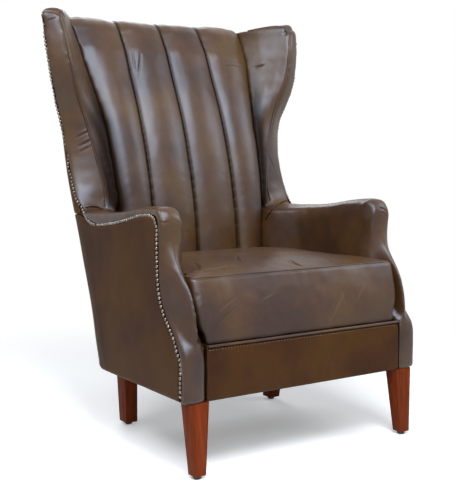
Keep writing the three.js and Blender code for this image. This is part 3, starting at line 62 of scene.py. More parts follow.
# %% Camera
VIEW_TURN = math.radians(-33.586)
VIEW_RISE = math.radians(5.546)
camera = bpy.data.objects.new("camera", bpy.data.cameras.new("camera"))
scene.collection.objects.link(camera)
scene.camera = camera
camera.data.lens = 70.08
camera.data.sensor_width = 36
camera.data.clip_end = 60
camera.location = (-1.431, -2.2017, 0.746)
toward = Vector((-math.sin(VIEW_TURN) * math.cos(VIEW_RISE),
                 math.cos(VIEW_TURN) * math.cos(VIEW_RISE), -math.sin(VIEW_RISE)))
camera.rotation_euler = toward.to_track_quat("-Z", "Y").to_euler()

# %% [markdown]
# ## Colours and nodes
# A colour picked on a screen is an sRGB value, while Blender's shaders count in linear light, so one
# function turns hex values to linear. Another adds a shader node, sets it up and links its inputs.

# %% Two helpers for every material
def linear(hex_value):
    parts = [((hex_value >> shift) & 255) / 255 for shift in (16, 8, 0)]
    return (*[c / 12.92 if c <= 0.04045 else ((c + 0.055) / 1.055) ** 2.4 for c in parts], 1.0)


def add_node(tree, kind, inputs=None, **settings):
    made = tree.nodes.new(kind)
    for key, value in settings.items():
        setattr(made, key, value)
    for key, value in (inputs or {}).items():
        if isinstance(value, bpy.types.NodeSocket):
            tree.links.new(value, made.inputs[key])
        else:
            made.inputs[key].default_value = value
    return made


def new_material(name):
    material = bpy.data.materials.new(name)
    material.use_nodes = True
    tree = material.node_tree
    shader = tree.nodes["Principled BSDF"]
    place = add_node(tree, "ShaderNodeTexCoord").outputs["Object"]
    return material, tree, shader, place


def ramp(tree, factor, stops):
    made = add_node(tree, "ShaderNodeValToRGB", {"Fac": factor})
    elements = made.color_ramp.elements
    while len(elements) < len(stops):
        elements.new(0.5)
    for element, (position, value) in zip(elements, stops):
        element.position = position
        element.color = linear(value) if isinstance(value, int) else (value, value, value, 1)
    return made.outputs["Color"]


def mixed(tree, factor, a, b, blend="MIX"):
    made = add_node(tree, "ShaderNodeMix", data_type="RGBA", blend_type=blend)
    for socket, value in ((made.inputs[0], factor), (made.inputs[6], a), (made.inputs[7], b)):
        if isinstance(value, bpy.types.NodeSocket):
            tree.links.new(value, socket)
        else:
            socket.default_value = value
    return made.outputs[2]


# %% [markdown]
# ## Leather
# The real cover is full-grain cowhide, drum dyed olive brown, then waxed and rubbed by hand, which
# leaves cloudy patches, darker seams and a soft shine. The seams here are darker partly from the wax
# and partly from painted shade. It could be painted as an image, but an image would have to be
# wrapped round forty curved panels. Noise in object coordinates has no seams.
# Pebbled grain about a millimetre and a half across is drawn a little coarser than life, so it shows.

# %% Antiqued leather
PATCH = 0.16
MOTTLE = 0.022
GRAIN = 0.0021
PORE = 0.0009


def antiqued_leather(name, deep, brown, olive, shine, gloss):
    material, tree, shader, place = new_material(name)
    patch = add_node(tree, "ShaderNodeTexNoise", {
        "Vector": place, "Scale": 1 / PATCH, "Detail": 2.0, "Roughness": 0.5, "Distortion": 0.3})
    mottle = add_node(tree, "ShaderNodeTexNoise", {
        "Vector": place, "Scale": 1 / MOTTLE, "Detail": 5.0, "Roughness": 0.62})
    grain = add_node(tree, "ShaderNodeTexVoronoi", {"Vector": place, "Scale": 1 / GRAIN},
                     feature="SMOOTH_F1")
    pore = add_node(tree, "ShaderNodeTexNoise", {"Vector": place, "Scale": 1 / PORE, "Detail": 2.0})
    scuff_at = add_node(tree, "ShaderNodeTexNoise", {
        "Vector": place, "Scale": 9.0, "Detail": 7.0, "Roughness": 0.72, "Distortion": 2.2})
    cloud = ramp(tree, patch.outputs["Fac"], [(0.34, deep), (0.5, brown), (0.66, olive)])
    spots = ramp(tree, mottle.outputs["Fac"], [(0.3, 0.84), (0.7, 1.0)])
    rubbed = mixed(tree, 1.0, cloud, spots, "MULTIPLY")
    scuff = ramp(tree, scuff_at.outputs["Fac"], [(0.495, 0.0), (0.5, 0.09), (0.505, 0.0)])
    rubbed = mixed(tree, scuff, rubbed, linear(0x7d6a50))
    worn = add_node(tree, "ShaderNodeAttribute", attribute_name="worn").outputs["Fac"]
    rubbed = mixed(tree, worn, rubbed, linear(0x8A7152))
    # Painted shade, with some wax: an attribute darkens hollows, seams and recesses towards near-black
    # and takes their shine away.
    wax_and_shade = add_node(tree, "ShaderNodeAttribute", attribute_name="wax_and_shade").outputs["Fac"]
    colour = mixed(tree, wax_and_shade, rubbed, linear(0x140d08))
    tree.links.new(colour, shader.inputs["Base Color"])
    rough = add_node(tree, "ShaderNodeMapRange", {
        "Value": mottle.outputs["Fac"], "From Min": 0.3, "From Max": 0.7,
        "To Min": shine - 0.02, "To Max": shine + 0.03})
    tree.links.new(rough.outputs["Result"], shader.inputs["Roughness"])
    height = add_node(tree, "ShaderNodeMath", {
        0: grain.outputs["Distance"], 1: pore.outputs["Fac"]}, operation="ADD")
    bump = add_node(tree, "ShaderNodeBump", {
        "Height": height.outputs["Value"], "Strength": 0.1, "Distance": 0.0005})
    tree.links.new(bump.outputs["Normal"], shader.inputs["Normal"])
    shader.inputs["IOR"].default_value = 1.48
    polish = add_node(tree, "ShaderNodeMapRange", {"Value": wax_and_shade, "To Min": gloss, "To Max": 0.0})
    tree.links.new(polish.outputs["Result"], shader.inputs["Specular IOR Level"])
    shader.inputs["Specular Tint"].default_value = (0.66, 0.81, 1.0, 1)
    return material


leather = antiqued_leather("antiqued_leather", 0x352112, 0x412913, 0x483112, 0.355, 0.48)
panel_leather = antiqued_leather("panel_leather", 0x382214, 0x432A15, 0x462E12, 0.48, 0.06)
# Near-black leather with no shine: the gimp under the nails, and lines along seams that are painted shade
# in their grooves.
dark_trim_and_seam_shade = antiqued_leather("dark_trim_and_seam_shade", 0x0C0806, 0x120C08, 0x160F09, 0.85, 0.0)

# %% [markdown]
# ## Stained wood for the legs
# The legs are solid beech, stained red brown and lacquered. Grain runs up the leg, so the noise is
# stretched along Z: about three millimetres across the leg and ten centimetres along it.

# %% Woods
def wood(name, dark, light, roughness, gloss, pitch=0.003, length=0.1):
    material, tree, shader, place = new_material(name)
    along = add_node(tree, "ShaderNodeMapping", {
        "Vector": place, "Scale": (1 / pitch, 1 / pitch, 1 / length)})
    grain = add_node(tree, "ShaderNodeTexNoise", {
        "Vector": along.outputs["Vector"], "Scale": 1.0, "Detail": 6.0, "Roughness": 0.6,
        "Distortion": 0.4})
    broad = add_node(tree, "ShaderNodeMapping", {
        "Vector": place, "Scale": (0.2 / pitch, 0.2 / pitch, 0.4 / length)})
    band = add_node(tree, "ShaderNodeTexNoise", {
        "Vector": broad.outputs["Vector"], "Scale": 1.0, "Detail": 2.0})
    both = mixed(tree, 0.45, grain.outputs["Color"], band.outputs["Color"])
    colour = ramp(tree, both, [(0.36, dark), (0.64, light)])
    tree.links.new(colour, shader.inputs["Base Color"])
    bump = add_node(tree, "ShaderNodeBump", {
        "Height": grain.outputs["Fac"], "Strength": 0.12, "Distance": 0.0005})
    tree.links.new(bump.outputs["Normal"], shader.inputs["Normal"])
    shader.inputs["Roughness"].default_value = roughness
    shader.inputs["Specular IOR Level"].default_value = gloss
    return material


stained_wood = wood("stained_beech", 0x43190B, 0x7A3618, 0.5, 0.04)
beech = wood("raw_beech", 0xB08A5E, 0xD2B184, 0.65, 0.3)
plywood = wood("birch_plywood", 0xA37E50, 0xC9A474, 0.7, 0.3, length=0.05)

# %% [markdown]
# ## Metals, nylon, foam and cloth
# The nails are steel, plated and tumbled to an antique bronze, so hollows stay dark and the domes
# are rubbed bright. Springs and bolts are drawn steel. Glides and zip are moulded nylon.

# %% Small finishes
def plain_finish(name, dark, light, roughness, metallic, cell, bump_depth=0.0002, spread=0.12):
    material, tree, shader, place = new_material(name)
    speck = add_node(tree, "ShaderNodeTexNoise", {
        "Vector": place, "Scale": 1 / cell, "Detail": 4.0, "Roughness": 0.6})
    tree.links.new(ramp(tree, speck.outputs["Fac"], [(0.35, dark), (0.65, light)]),
                   shader.inputs["Base Color"])
    rough = add_node(tree, "ShaderNodeMapRange", {
        "Value": speck.outputs["Fac"], "From Min": 0.3, "From Max": 0.7,
        "To Min": roughness - spread / 2, "To Max": roughness + spread / 2})
    tree.links.new(rough.outputs["Result"], shader.inputs["Roughness"])
    bump = add_node(tree, "ShaderNodeBump", {
        "Height": speck.outputs["Fac"], "Strength": 0.2, "Distance": bump_depth})
    tree.links.new(bump.outputs["Normal"], shader.inputs["Normal"])
    shader.inputs["Metallic"].default_value = metallic
    return material


bronze = plain_finish("antique_bronze", 0x47413C, 0x9C938B, 0.28, 1.0, 0.004)
steel = plain_finish("drawn_steel", 0x7A7D80, 0xA5A8AB, 0.38, 1.0, 0.002)
nylon = plain_finish("moulded_nylon", 0x121110, 0x232120, 0.5, 0.0, 0.001)
thread = plain_finish("waxed_thread", 0x5C4632, 0x8A6F52, 0.6, 0.0, 0.001)
foam = plain_finish("cut_foam", 0xDCCFAE, 0xEFE6CC, 0.95, 0.0, 0.0015, 0.0006)


def woven(name, dark, light, thread):
    material, tree, shader, place = new_material(name)
    weave = [
        add_node(tree, "ShaderNodeTexWave", {
            "Vector": place, "Scale": 1 / thread / 20, "Distortion": 1.5, "Detail": 2.0,
            "Detail Scale": 1.5}, bands_direction=direction)
        for direction in ("X", "Y")]
    both = mixed(tree, 0.5, weave[0].outputs["Color"], weave[1].outputs["Color"])
    tree.links.new(ramp(tree, both, [(0.3, dark), (0.7, light)]), shader.inputs["Base Color"])
    bump = add_node(tree, "ShaderNodeBump", {"Height": both, "Strength": 0.4, "Distance": 0.0004})
    tree.links.new(bump.outputs["Normal"], shader.inputs["Normal"])
    shader.inputs["Roughness"].default_value = 0.92
    return material


lining = woven("black_lining", 0x181615, 0x302C29, 0.001)
jute = woven("jute_webbing", 0x7D6240, 0xB08F62, 0.0016)

# %% [markdown]
# ## How the soft pieces are made
# A CAD solid has the right size and place, but its faces are flat facets. A copy of it is remeshed
# into small even cells and relaxed, which melts the facets and rounds the edges as leather over
# wadding does. Modelling each panel again by hand would only repeat the CAD's shapes less exactly.

# %% Copy, remesh and relax
def solid_copy(*nodes):
    shape = bmesh.new()
    for node in nodes:
        shape.from_mesh(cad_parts[node].data)
    bmesh.ops.remove_doubles(shape, verts=shape.verts, dist=1e-5)
    return shape


def new_object(name, shape, material):
    mesh = bpy.data.meshes.new(name)
    shape.to_mesh(mesh)
    shape.free()
    made = bpy.data.objects.new(name, mesh)
    scene.collection.objects.link(made)
    made.data.materials.append(material)
    mesh.shade_smooth()
    return made


def settle(piece):
    """Turns what the modifiers show into the piece's own mesh."""
    shown = piece.evaluated_get(bpy.context.evaluated_depsgraph_get())
    mesh = bpy.data.meshes.new_from_object(shown)
    before = piece.data
    piece.modifiers.clear()
    piece.data = mesh
    bpy.data.meshes.remove(before)
    mesh.name = piece.name
    mesh.shade_smooth()


def points_of(piece):
    flat = np.empty(len(piece.data.vertices) * 3)
    piece.data.vertices.foreach_get("co", flat)
    return flat.reshape(-1, 3)


def normals_of(piece):
    flat = np.empty(len(piece.data.vertices) * 3)
    piece.data.vertex_normals.foreach_get("vector", flat)
    return flat.reshape(-1, 3)


def set_points(piece, points):
    piece.data.vertices.foreach_set("co", points.ravel())
    piece.data.update()


def relax(piece, rounds, weight=1.0):
    """Evens out a mesh without shrinking it: each step in is followed by one out."""
    points = points_of(piece)
    edges = np.empty(len(piece.data.edges) * 2, int)
    piece.data.edges.foreach_get("vertices", edges)
    a, b = edges.reshape(-1, 2).T
    size = len(points)
    share = np.bincount(a, minlength=size) + np.bincount(b, minlength=size)
    weight = np.broadcast_to(weight, size)
    for _ in range(rounds):
        for factor in (0.55, -0.57):
            pull = np.stack([
                np.bincount(a, points[b, k], size) + np.bincount(b, points[a, k], size)
                for k in range(3)], 1) / share[:, None] - points
            points = points + factor * pull * weight[:, None]
    set_points(piece, points)


def reach_into(shape, node, near, deeper=0.0015):
    """Moves the points that lie beside a neighbour just into it, so that two pads meet."""
    tree = BVHTree.FromBMesh(solid_copy(node))
    for vert in shape.verts:
        hit, normal, _, away = tree.find_nearest(vert.co)
        if away < near:
            vert.co = hit - normal * deeper


def soften(piece, rounds, weight):
    """Plain smoothing, which also rounds off corners, where weight is above nothing."""
    points = points_of(piece)
    edges = np.empty(len(piece.data.edges) * 2, int)
    piece.data.edges.foreach_get("vertices", edges)
    a, b = edges.reshape(-1, 2).T
    size = len(points)
    share = np.bincount(a, minlength=size) + np.bincount(b, minlength=size)
    for _ in range(rounds):
        pull = np.stack([
            np.bincount(a, points[b, k], size) + np.bincount(b, points[a, k], size)
            for k in range(3)], 1) / share[:, None] - points
        points = points + 0.5 * pull * weight[:, None]
    set_points(piece, points)


def remeshed(name, nodes, material, cell, rounds):
    return gridded(name, solid_copy(*nodes), material, cell, rounds)


def gridded(name, shape, material, cell, rounds):
    piece = new_object(name, shape, material)
    grid = piece.modifiers.new("grid", "REMESH")
    grid.mode = "VOXEL"
    grid.voxel_size = cell
    settle(piece)
    relax(piece, rounds)
    print(name, len(piece.data.vertices), "points")
    return piece


def finer(piece, levels=1):
    smooth = piece.modifiers.new("smooth", "SUBSURF")
    smooth.levels = smooth.render_levels = levels
    settle(piece)


# %% [markdown]
# ## Filling the pads
# A stuffed pad pushes its leather out between the seams that hold it. Blender's cloth does this with
# air pressure: the seams are pinned, gravity is off, twenty frames swell the rest, and no point may
# end further from its start than the cap. The result is kept as a mesh and the cloth is removed.

# %% Cloth under pressure
SWELL_FRAMES = 20


def swell(piece, pinned, cap, pressure=4.0, outside=None):
    before = points_of(piece)
    group = piece.vertex_groups.new(name="pinned")
    for index in np.flatnonzero(pinned > 0.01):
        group.add([int(index)], float(pinned[index]), "REPLACE")
    cloth = piece.modifiers.new("cloth", "CLOTH")
    cloth.settings.quality = 4
    cloth.settings.mass = 0.4
    cloth.settings.tension_stiffness = 18
    cloth.settings.compression_stiffness = 10
    cloth.settings.shear_stiffness = 8
    cloth.settings.bending_stiffness = 1.2
    cloth.settings.use_pressure = True
    cloth.settings.uniform_pressure_force = pressure
    cloth.settings.vertex_group_mass = "pinned"
    cloth.settings.effector_weights.gravity = 0
    cloth.collision_settings.use_collision = False
    cloth.point_cache.frame_end = SWELL_FRAMES
    for step in range(1, SWELL_FRAMES + 1):
        scene.frame_set(step)
    settle(piece)
    scene.frame_set(1)
    moved = points_of(piece) - before
    length = np.linalg.norm(moved, axis=1)
    limit = cap if outside is None else cap * outside
    moved *= (np.minimum(length, limit) / np.maximum(length, 1e-9))[:, None]
    set_points(piece, before + moved)
    piece.vertex_groups.clear()
    print(piece.name, "swelled by up to", round(float(length.max()) * 1000, 1), "mm")


# %% [markdown]
# ## Seams, folds and creases
# Seams and folds are narrower than a remesh cell, so they are pressed in afterwards. Each is a line
# with a width and a depth. The same lines fill a point attribute that the leather reads to darken a
# hollow: painted shade where shade falls, and also where wax and dust collect. It takes the shine away.

# %% Press lines into a piece
def nearest_on(line, points):
    """Distance from each point to a line of points, and how far along it lies, from 0 to 1."""
    line = np.asarray(line, float)
    best = np.full(len(points), 1e9)
    along = np.zeros(len(points))
    spans = np.linalg.norm(np.diff(line, axis=0), axis=1)
    total = spans.sum()
    run = 0.0
    for start, end, span in zip(line[:-1], line[1:], spans):
        t = np.clip((points - start) @ (end - start) / max(span * span, 1e-12), 0, 1)
        away = np.linalg.norm(points - start - t[:, None] * (end - start), axis=1)
        closer = away < best
        best[closer] = away[closer]
        along[closer] = (run + t[closer] * span) / total
        run += span
    return best, along


def darken(piece, amount, kind="wax_and_shade"):
    layer = piece.data.attributes.get(kind)
    kept = np.zeros(len(piece.data.vertices))
    if layer is None:
        layer = piece.data.attributes.new(kind, "FLOAT", "POINT")
    else:
        layer.data.foreach_get("value", kept)
    layer.data.foreach_set("value", np.clip(np.maximum(kept, amount), 0, 1))


def press(piece, line, width, depth, shade=0.6, tapered=False, where=None):
    points, normals = points_of(piece), normals_of(piece)
    away, along = nearest_on(line, points)
    shape = np.exp(-(away / width) ** 2)
    if tapered:
        shape *= np.sin(np.pi * np.clip(along, 0.02, 0.98)) ** 0.7
    if where is not None:
        shape *= where(points, normals)
    set_points(piece, points - normals * (shape * depth)[:, None])
    if shade:
        darken(piece, shape * shade)


def spaced(line, pitch):
    """Points at an even pitch along a line."""
    spans = np.linalg.norm(np.diff(line, axis=0), axis=1)
    run = np.concatenate([[0], np.cumsum(spans)])
    at = np.linspace(0, run[-1], max(int(round(run[-1] / pitch)), 1) + 1)
    return np.stack([np.interp(at, run, line[:, k]) for k in range(3)], 1)


def pulled_onto(piece, line, lift):
    """A line moved to the nearest surface of a piece, then raised."""
    tree = BVHTree.FromObject(piece, bpy.context.evaluated_depsgraph_get())
    found = []
    for point in line:
        hit, normal, _, _ = tree.find_nearest(Vector(point))
        found.append(hit + normal * lift)
    return np.array(found)


def fold(piece, line, width, depth, shade=0.35):
    """A short fold in loose leather: a hollow with painted shade, and a soft ridge above it. Points are
    in mm.
    """
    line = pulled_onto(piece, spaced(np.array(line) / 1000, 0.005), 0)
    press(piece, line, width / 1000, depth / 1000, shade, tapered=True)
    ridge = pulled_onto(piece, line + np.array([0, 0, 1.9 * width / 1000]), 0)
    press(piece, ridge, width / 1000, -0.6 * depth / 1000, 0, tapered=True)


def scratch(piece, line, width=1.6, strength=0.16):
    """Leather rubbed pale along a line, given in mm."""
    line = pulled_onto(piece, spaced(np.array(line) / 1000, 0.005), 0)
    away, along = nearest_on(line, points_of(piece))
    taper = np.sin(np.pi * np.clip(along, 0.02, 0.98)) ** 0.5
    darken(piece, np.exp(-(away * 1000 / width) ** 2) * taper * strength, "worn")


def drift(piece, size, height, seed, stretch=(1, 1, 1), mask=None):
    """Pushes a piece in and out with soft noise, as leather lies over wadding."""
    points, normals = points_of(piece), normals_of(piece)
    scale = np.array(stretch) / size
    lift = np.array([noise.fractal(Vector(p * scale) + Vector((seed, seed, seed)), 0.7, 2.1, 3)
                     for p in points]) * height
    if mask is not None:
        lift *= mask(points, normals)
    set_points(piece, points + normals * lift[:, None])


def dress(piece, body, nodes=()):
    """Attaches a finished piece to the body it moves with, and hides the CAD nodes it stands for."""
    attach(piece, body)
    if nodes:
        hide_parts(*nodes)


# %% [markdown]
# ## Outside covers
# The flat outside panels are leather pulled over a layer of felt and board. They hardly bulge, but
# long shallow waves show where the hide was stretched from the nails to the bottom edge.

# %% Outside arms, wings and back
PANEL_CELL = 0.0042
outer_covers = {"left": [], "right": []}
PANEL_ROUNDS = 22


def wing_tip(points):
    """How far points belong to the top front corner of a wing, which is rounded off."""
    return np.clip((points[:, 2] - 1.06) / 0.03, 0, 1) * np.clip((0.28 - points[:, 1]) / 0.04, 0, 1)


TIP_TOP = 1.134
TIP_RADIUS = 0.036


def rounded_tip(points):
    """Turns the square top front corner of a wing into a quarter circle, seen from the side."""
    face = 0.178 + (np.abs(points[:, 0]) - 0.38) * 0.73
    ahead = np.clip((face + TIP_RADIUS - points[:, 1]) / TIP_RADIUS, 0, 2)
    above = np.clip((points[:, 2] - TIP_TOP + TIP_RADIUS) / TIP_RADIUS, 0, 2)
    corner = (ahead > 0) & (above > 0)
    shrink = np.maximum(ahead, above) / np.maximum(np.hypot(ahead, above), 1e-9)
    moved = points.copy()
    moved[:, 1] = face + TIP_RADIUS * (1 - ahead * shrink)
    moved[:, 2] = TIP_TOP - TIP_RADIUS * (1 - above * shrink)
    return np.where(corner[:, None], moved, points)


for hand, side in sides.items():
    for panel, size, height, stretch in (
            ("arm", 0.16, 0.0011, (1, 1, 0.6)), ("wing", 0.12, 0.0008, (1, 1, 0.7))):
        node = f"outside_{panel}_{hand}"
        cover = remeshed(f"{panel}_outer_cover_{hand}", [node], panel_leather, PANEL_CELL, PANEL_ROUNDS)
        if panel == "wing":
            soften(cover, 30, wing_tip(points_of(cover)))
            set_points(cover, rounded_tip(points_of(cover)))
        drift(cover, size, height, 7 + side, stretch)
        dress(cover, "frame", [node])
        outer_covers[hand].append(cover)

rear_cover = remeshed("back_outer_cover", ["outside_back"], panel_leather, 0.0048, PANEL_ROUNDS)
drift(rear_cover, 0.2, 0.0012, 3, (1, 1, 0.5))
dress(rear_cover, "frame", ["outside_back"])

band = remeshed("front_band", ["front_rail_cover"], panel_leather, PANEL_CELL, 14)
drift(band, 0.12, 0.0009, 11)
dress(band, "frame", ["front_rail_cover"])

# %% [markdown]
# ## Arms and wings
# A side of the chair is covered by hides sewn into one: over the arm front, the arm and the wing.
# The CAD has a pad for each, so a copy reaches into its neighbour and the three are remeshed as one.
# The arm front also swells forward beside the ear of the cushion, which a wedge of wadding fills.

# %% Lines along the sides
PAD_CELL = 0.0056


def edge_pins(piece, reach, *lines):
    points = points_of(piece)
    away = np.min([nearest_on(line, points)[0] for line in lines], axis=0)
    return np.clip(1.4 - away / reach, 0, 1)


NAIL_LINE = np.array([
    [356, -389.7, 184], [356, -390.1, 215.3], [356, -390.3, 250.1], [356, -376, 292],
    [356, -361.4, 324.6], [356, -335.5, 349.1], [356, -315, 373.7], [356, -301.4, 398.3],
    [356, -293.7, 422.9], [356, -290.2, 447.4], [356, -286.4, 496.6], [356, -286, 545.7],
    [356, -286.6, 570], [356, -283.5, 584], [356, -274.7, 592.6], [356, -249, 597.4],
    [356, -199.5, 595.5], [356, -140.1, 582.3], [356, -80.7, 570.4], [356, -19.3, 562.4],
    [356, 26.2, 556.4], [356, 61.9, 557.5], [356, 85.6, 562], [356, 105.4, 571],
    [356, 121.3, 579], [356, 138.5, 597], [355.9, 162.8, 616.6], [356.3, 183.9, 655.1],
    [356.6, 200.6, 693.7], [357.2, 213.5, 732.3], [359.5, 222.4, 770.9], [363.6, 227.3, 809.4],
    [371.9, 226.9, 848], [386.4, 216.2, 886.6], [398.3, 205.9, 925.1], [406.4, 200.8, 963.7],
    [412.2, 200.2, 1002.3], [417.3, 202.3, 1040.9], [421.9, 206.9, 1079.4], [425.3, 212.7, 1113],
]) / 1000
WING_FACE_INNER = np.array([
    [278.0, 141.7, 596], [272.8, 146.1, 620], [275.7, 151.9, 660], [284.5, 159.1, 700],
    [292.9, 166.7, 740], [301.7, 175.2, 780], [310.7, 180.4, 820], [322.3, 182.6, 860],
    [336.7, 178.5, 900], [353.0, 168.2, 950], [363.9, 166.4, 1000], [371.6, 169.4, 1050],
    [376.8, 174.8, 1090], [379.7, 179.9, 1118],
]) / 1000
WING_BACK_SEAM = np.array([
    [236.4, 123.5, 596], [241.6, 136.4, 660], [245.9, 157.8, 740], [250.3, 184.4, 820],
    [261.2, 216.3, 900], [276.8, 262.3, 1000], [286.8, 313.4, 1090], [288.7, 322.1, 1118],
]) / 1000


WING_TOP_EDGE = np.array([
    [378.5, 179, 1105], [379.5, 180, 1118], [379.7, 180, 1133.9], [375, 196, 1134], [365, 214, 1136],
    [348, 236, 1137], [325, 265, 1136], [300, 300, 1133],
]) / 1000
ARM_JOINT = {
    "left": [(-340, 136, 596.9), (-319.6, 135.6, 598.9), (-301.7, 135.8, 597), (-288.5, 132.4, 589.9)],
    "right": [(338, 133, 596), (325.4, 132.5, 595.5), (297.4, 120.4, 587.7), (264.6, 96.4, 580.8),
              (241, 87, 569.3), (232.6, 103.1, 542.5)],
}


def on_side(line, side):
    return line * np.array([side, 1, 1])


def painted_recess_shade(points, side):
    """How dark the painted shade is in the deep corner between a wing and the back."""
    away, _ = nearest_on(on_side(WING_BACK_SEAM, side), points)
    low = np.clip((1.05 - points[:, 2]) / 0.2, 0.2, 1) * np.clip((points[:, 2] - 0.56) / 0.04, 0.3, 1)
    wide = 0.05 if side < 0 else 0.034
    shade = 0.92 * np.exp(-(away / wide) ** 4) * low
    if side < 0:
        behind = nearest_on(on_side(WING_FACE_INNER, side), points)[0]
        shade *= np.clip(behind / 0.006 - 0.5, 0, 1)
        shade *= points[:, 0] > np.interp(points[:, 2], WING_FACE_INNER[:, 2], -WING_FACE_INNER[:, 0])
    return shade


def wadding_wedge(shape, side):
    """Adds the wadding that fills the arm front out to the side of the cushion's ear."""
    rings = []
    for z, face in ((0.290, -0.402), (0.345, -0.405), (0.385, -0.399), (0.415, -0.390), (0.44, -0.378),
                    (0.46, -0.364), (0.48, -0.347), (0.505, -0.328), (0.535, -0.312), (0.56, -0.304)):
        edge = np.interp(z, NAIL_LINE[:20, 2], NAIL_LINE[:20, 1]) + 0.004
        deep = face - edge
        outline = ((0.353, edge), (0.345, edge + 0.42 * deep), (0.336, edge + 0.74 * deep),
                   (0.326, edge + 0.94 * deep), (0.3155, face), (0.3155, -0.288), (0.353, edge + 0.012))
        rings.append([shape.verts.new((side * x, y, z)) for x, y in outline])
    for low, high in zip(rings[:-1], rings[1:]):
        for k in range(len(low)):
            after = (k + 1) % len(low)
            shape.faces.new((low[k], low[after], high[after], high[k]))
    shape.faces.new(rings[0][::-1])
    shape.faces.new(rings[-1])


# %% [markdown]
# The folds are where a sitter's shoulders and hands have worked the leather loose: below the wing
# tips, on the left wing at neck height, and at the front corners of the arms. A curved seam on each
# side marks where the hide of the wing ends on the arm. Their places are in millimetres.

# %% Arm and wing on each side
# Each fold: its points, width and depth in mm, then how dark its painted shade is.
SIDE_FOLDS = {
    "left": (
        ([(-336.7, 194, 783.3), (-326, 186.9, 790.5), (-314.9, 180.9, 796.8), (-302.8, 176.9, 802.3)],
         3.2, 2.0, 0.3),
        ([(-333, 190, 758.9), (-322, 183.7, 766.1), (-309.1, 177.1, 773.8), (-300.8, 175.6, 777.9)],
         3.4, 2.2, 0.35),
        ([(-329.3, 185.7, 744), (-314.7, 178.5, 754.8), (-302.2, 173.1, 761.6)], 2.8, 1.6, 0.3),
        ([(-414.3, 195.5, 1087.8), (-403.1, 188.1, 1095.6), (-390.3, 184.6, 1100.1)], 2.6, 1.4, 0.3),
        ([(-340, 136, 596.9), (-319.6, 135.6, 598.9), (-301.7, 135.8, 597), (-288.5, 132.4, 589.9)],
         2.6, 2.0, 0.8),
        ([(-355.2, -294.3, 586), (-344.9, -303.9, 583), (-329.7, -305.3, 588)], 2.2, 0.8, 0.3),
    ),
    "right": (
        ([(291.4, 246, 1003.6), (301.8, 233.8, 1009.3), (314, 219.1, 1013.4)], 3.0, 2.2, 0.5),
        ([(277.7, 161.8, 751.3), (295.8, 167, 728.5), (314.3, 169.9, 698.6), (333.2, 162.6, 649.1)],
         3.0, 1.4, 0.3),
        ([(338, 133, 596), (325.4, 132.5, 595.5), (297.4, 120.4, 587.7), (264.6, 96.4, 580.8),
          (241, 87, 569.3), (232.6, 103.1, 542.5)], 2.8, 2.4, 0.85),
        ([(316.4, -303.2, 597), (332.8, -305.1, 592.6), (348.3, -304.3, 581.2)], 2.6, 1.6, 0.35),
        ([(320.4, -306.9, 585), (335, -306.9, 579.1), (348.5, -304.4, 570.3)], 2.6, 1.4, 0.3),
    ),
}
TIP_STUFFING = {"left": 0.1, "right": 1.0}
hides = {}
for hand, side in sides.items():
    nails = on_side(NAIL_LINE, side)
    face_inner = on_side(WING_FACE_INNER, side)
    back_seam = on_side(WING_BACK_SEAM, side)
    arm, front, wing = (f"{name}_{hand}" for name in ("arm_pad", "arm_front_pad", "wing_pad"))
    whole = solid_copy(arm)
    for neighbour, near in ((front, 0.0036), (wing, 0.009)):
        part = solid_copy(neighbour)
        reach_into(part, arm, near)
        part.to_mesh(spare := bpy.data.meshes.new("spare"))
        whole.from_mesh(spare)
    wadding_wedge(whole, side)
    bmesh.ops.recalc_face_normals(whole, faces=whole.faces)
    hide = gridded(f"side_leather_{hand}", whole, leather, PAD_CELL, 40)
    soften(hide, 25, wing_tip(points_of(hide)))
    points = points_of(hide)
    high = np.clip((points[:, 2] - 1.06) / 0.06, 0, 1)
    peak = np.exp(-((points[:, 1] - 0.225) / 0.05) ** 2)
    outer = np.clip((np.abs(points[:, 0]) - 0.382) / 0.03, 0, 1)
    points[:, 2] += TIP_STUFFING[hand] * high * (0.003 + peak * (0.006 + 0.009 * outer))
    set_points(hide, rounded_tip(points))
    joint = np.exp(-((points[:, 2] - 0.598) / 0.012) ** 2) * (points[:, 1] > 0.1)
    soften(hide, 26, joint)
    points, normals = points_of(hide), normals_of(hide)
    low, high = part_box(arm)
    rims = (points[:, 1] > high.y - 0.03) | ((points[:, 2] < 0.47) & (points[:, 1] > low.y + 0.03))
    rims |= (np.abs(points[:, 0]) > 0.3545) & (points[:, 2] < 0.6)
    rims |= (normals[:, 1] > 0.35) & (points[:, 2] > 0.55)
    pins = edge_pins(hide, 0.012, nails, face_inner, back_seam)
    blend = np.exp(-((points[:, 2] - 0.49) / 0.045) ** 2) * (points[:, 1] < -0.28)
    blend *= np.clip(nearest_on(nails, points)[0] / 0.012 - 0.5, 0, 1)
    soften(hide, 70, blend)
    arms = np.clip((0.62 - points[:, 2]) / 0.03, 0, 1)
    swell(hide, np.clip(pins + rims, 0, 1), 0.0035, 3.0, outside=1 - 0.75 * arms)
    relax(hide, 6)
    inward = np.clip((-side * normals_of(hide)[:, 0] - 0.75) / 0.15, 0, 1)
    soften(hide, 30, arms * inward)
    relax(hide, 10, arms)
    finer(hide)
    drift(hide, 0.15, 0.0013, 31 + side)
    # The groove along the inner edge of the wing's front face gets painted shade.
    press(hide, face_inner[:-1], 0.003, 0.0022, 0.75)
    for line, width, depth, shade in SIDE_FOLDS[hand]:
        fold(hide, line, width, depth, shade)
    # Painted shade in the deep corner between the wing and the back.
    darken(hide, painted_recess_shade(points_of(hide), side))
    hides[hand] = hide
    dress(hide, "frame", [front, arm, wing])

# %% [markdown]
# ## Inside back
# The back is one pad sewn into four upright channels, which roll over the top rail. Each seam pulls
# the leather down to the frame, so the channels stand proud like half pipes between dark lines.

# %% Channelled back
CHANNEL_SEAMS = (-0.138, 0.0, 0.138)
back = remeshed("inside_back", ["back_pad"], leather, 0.006, 24)


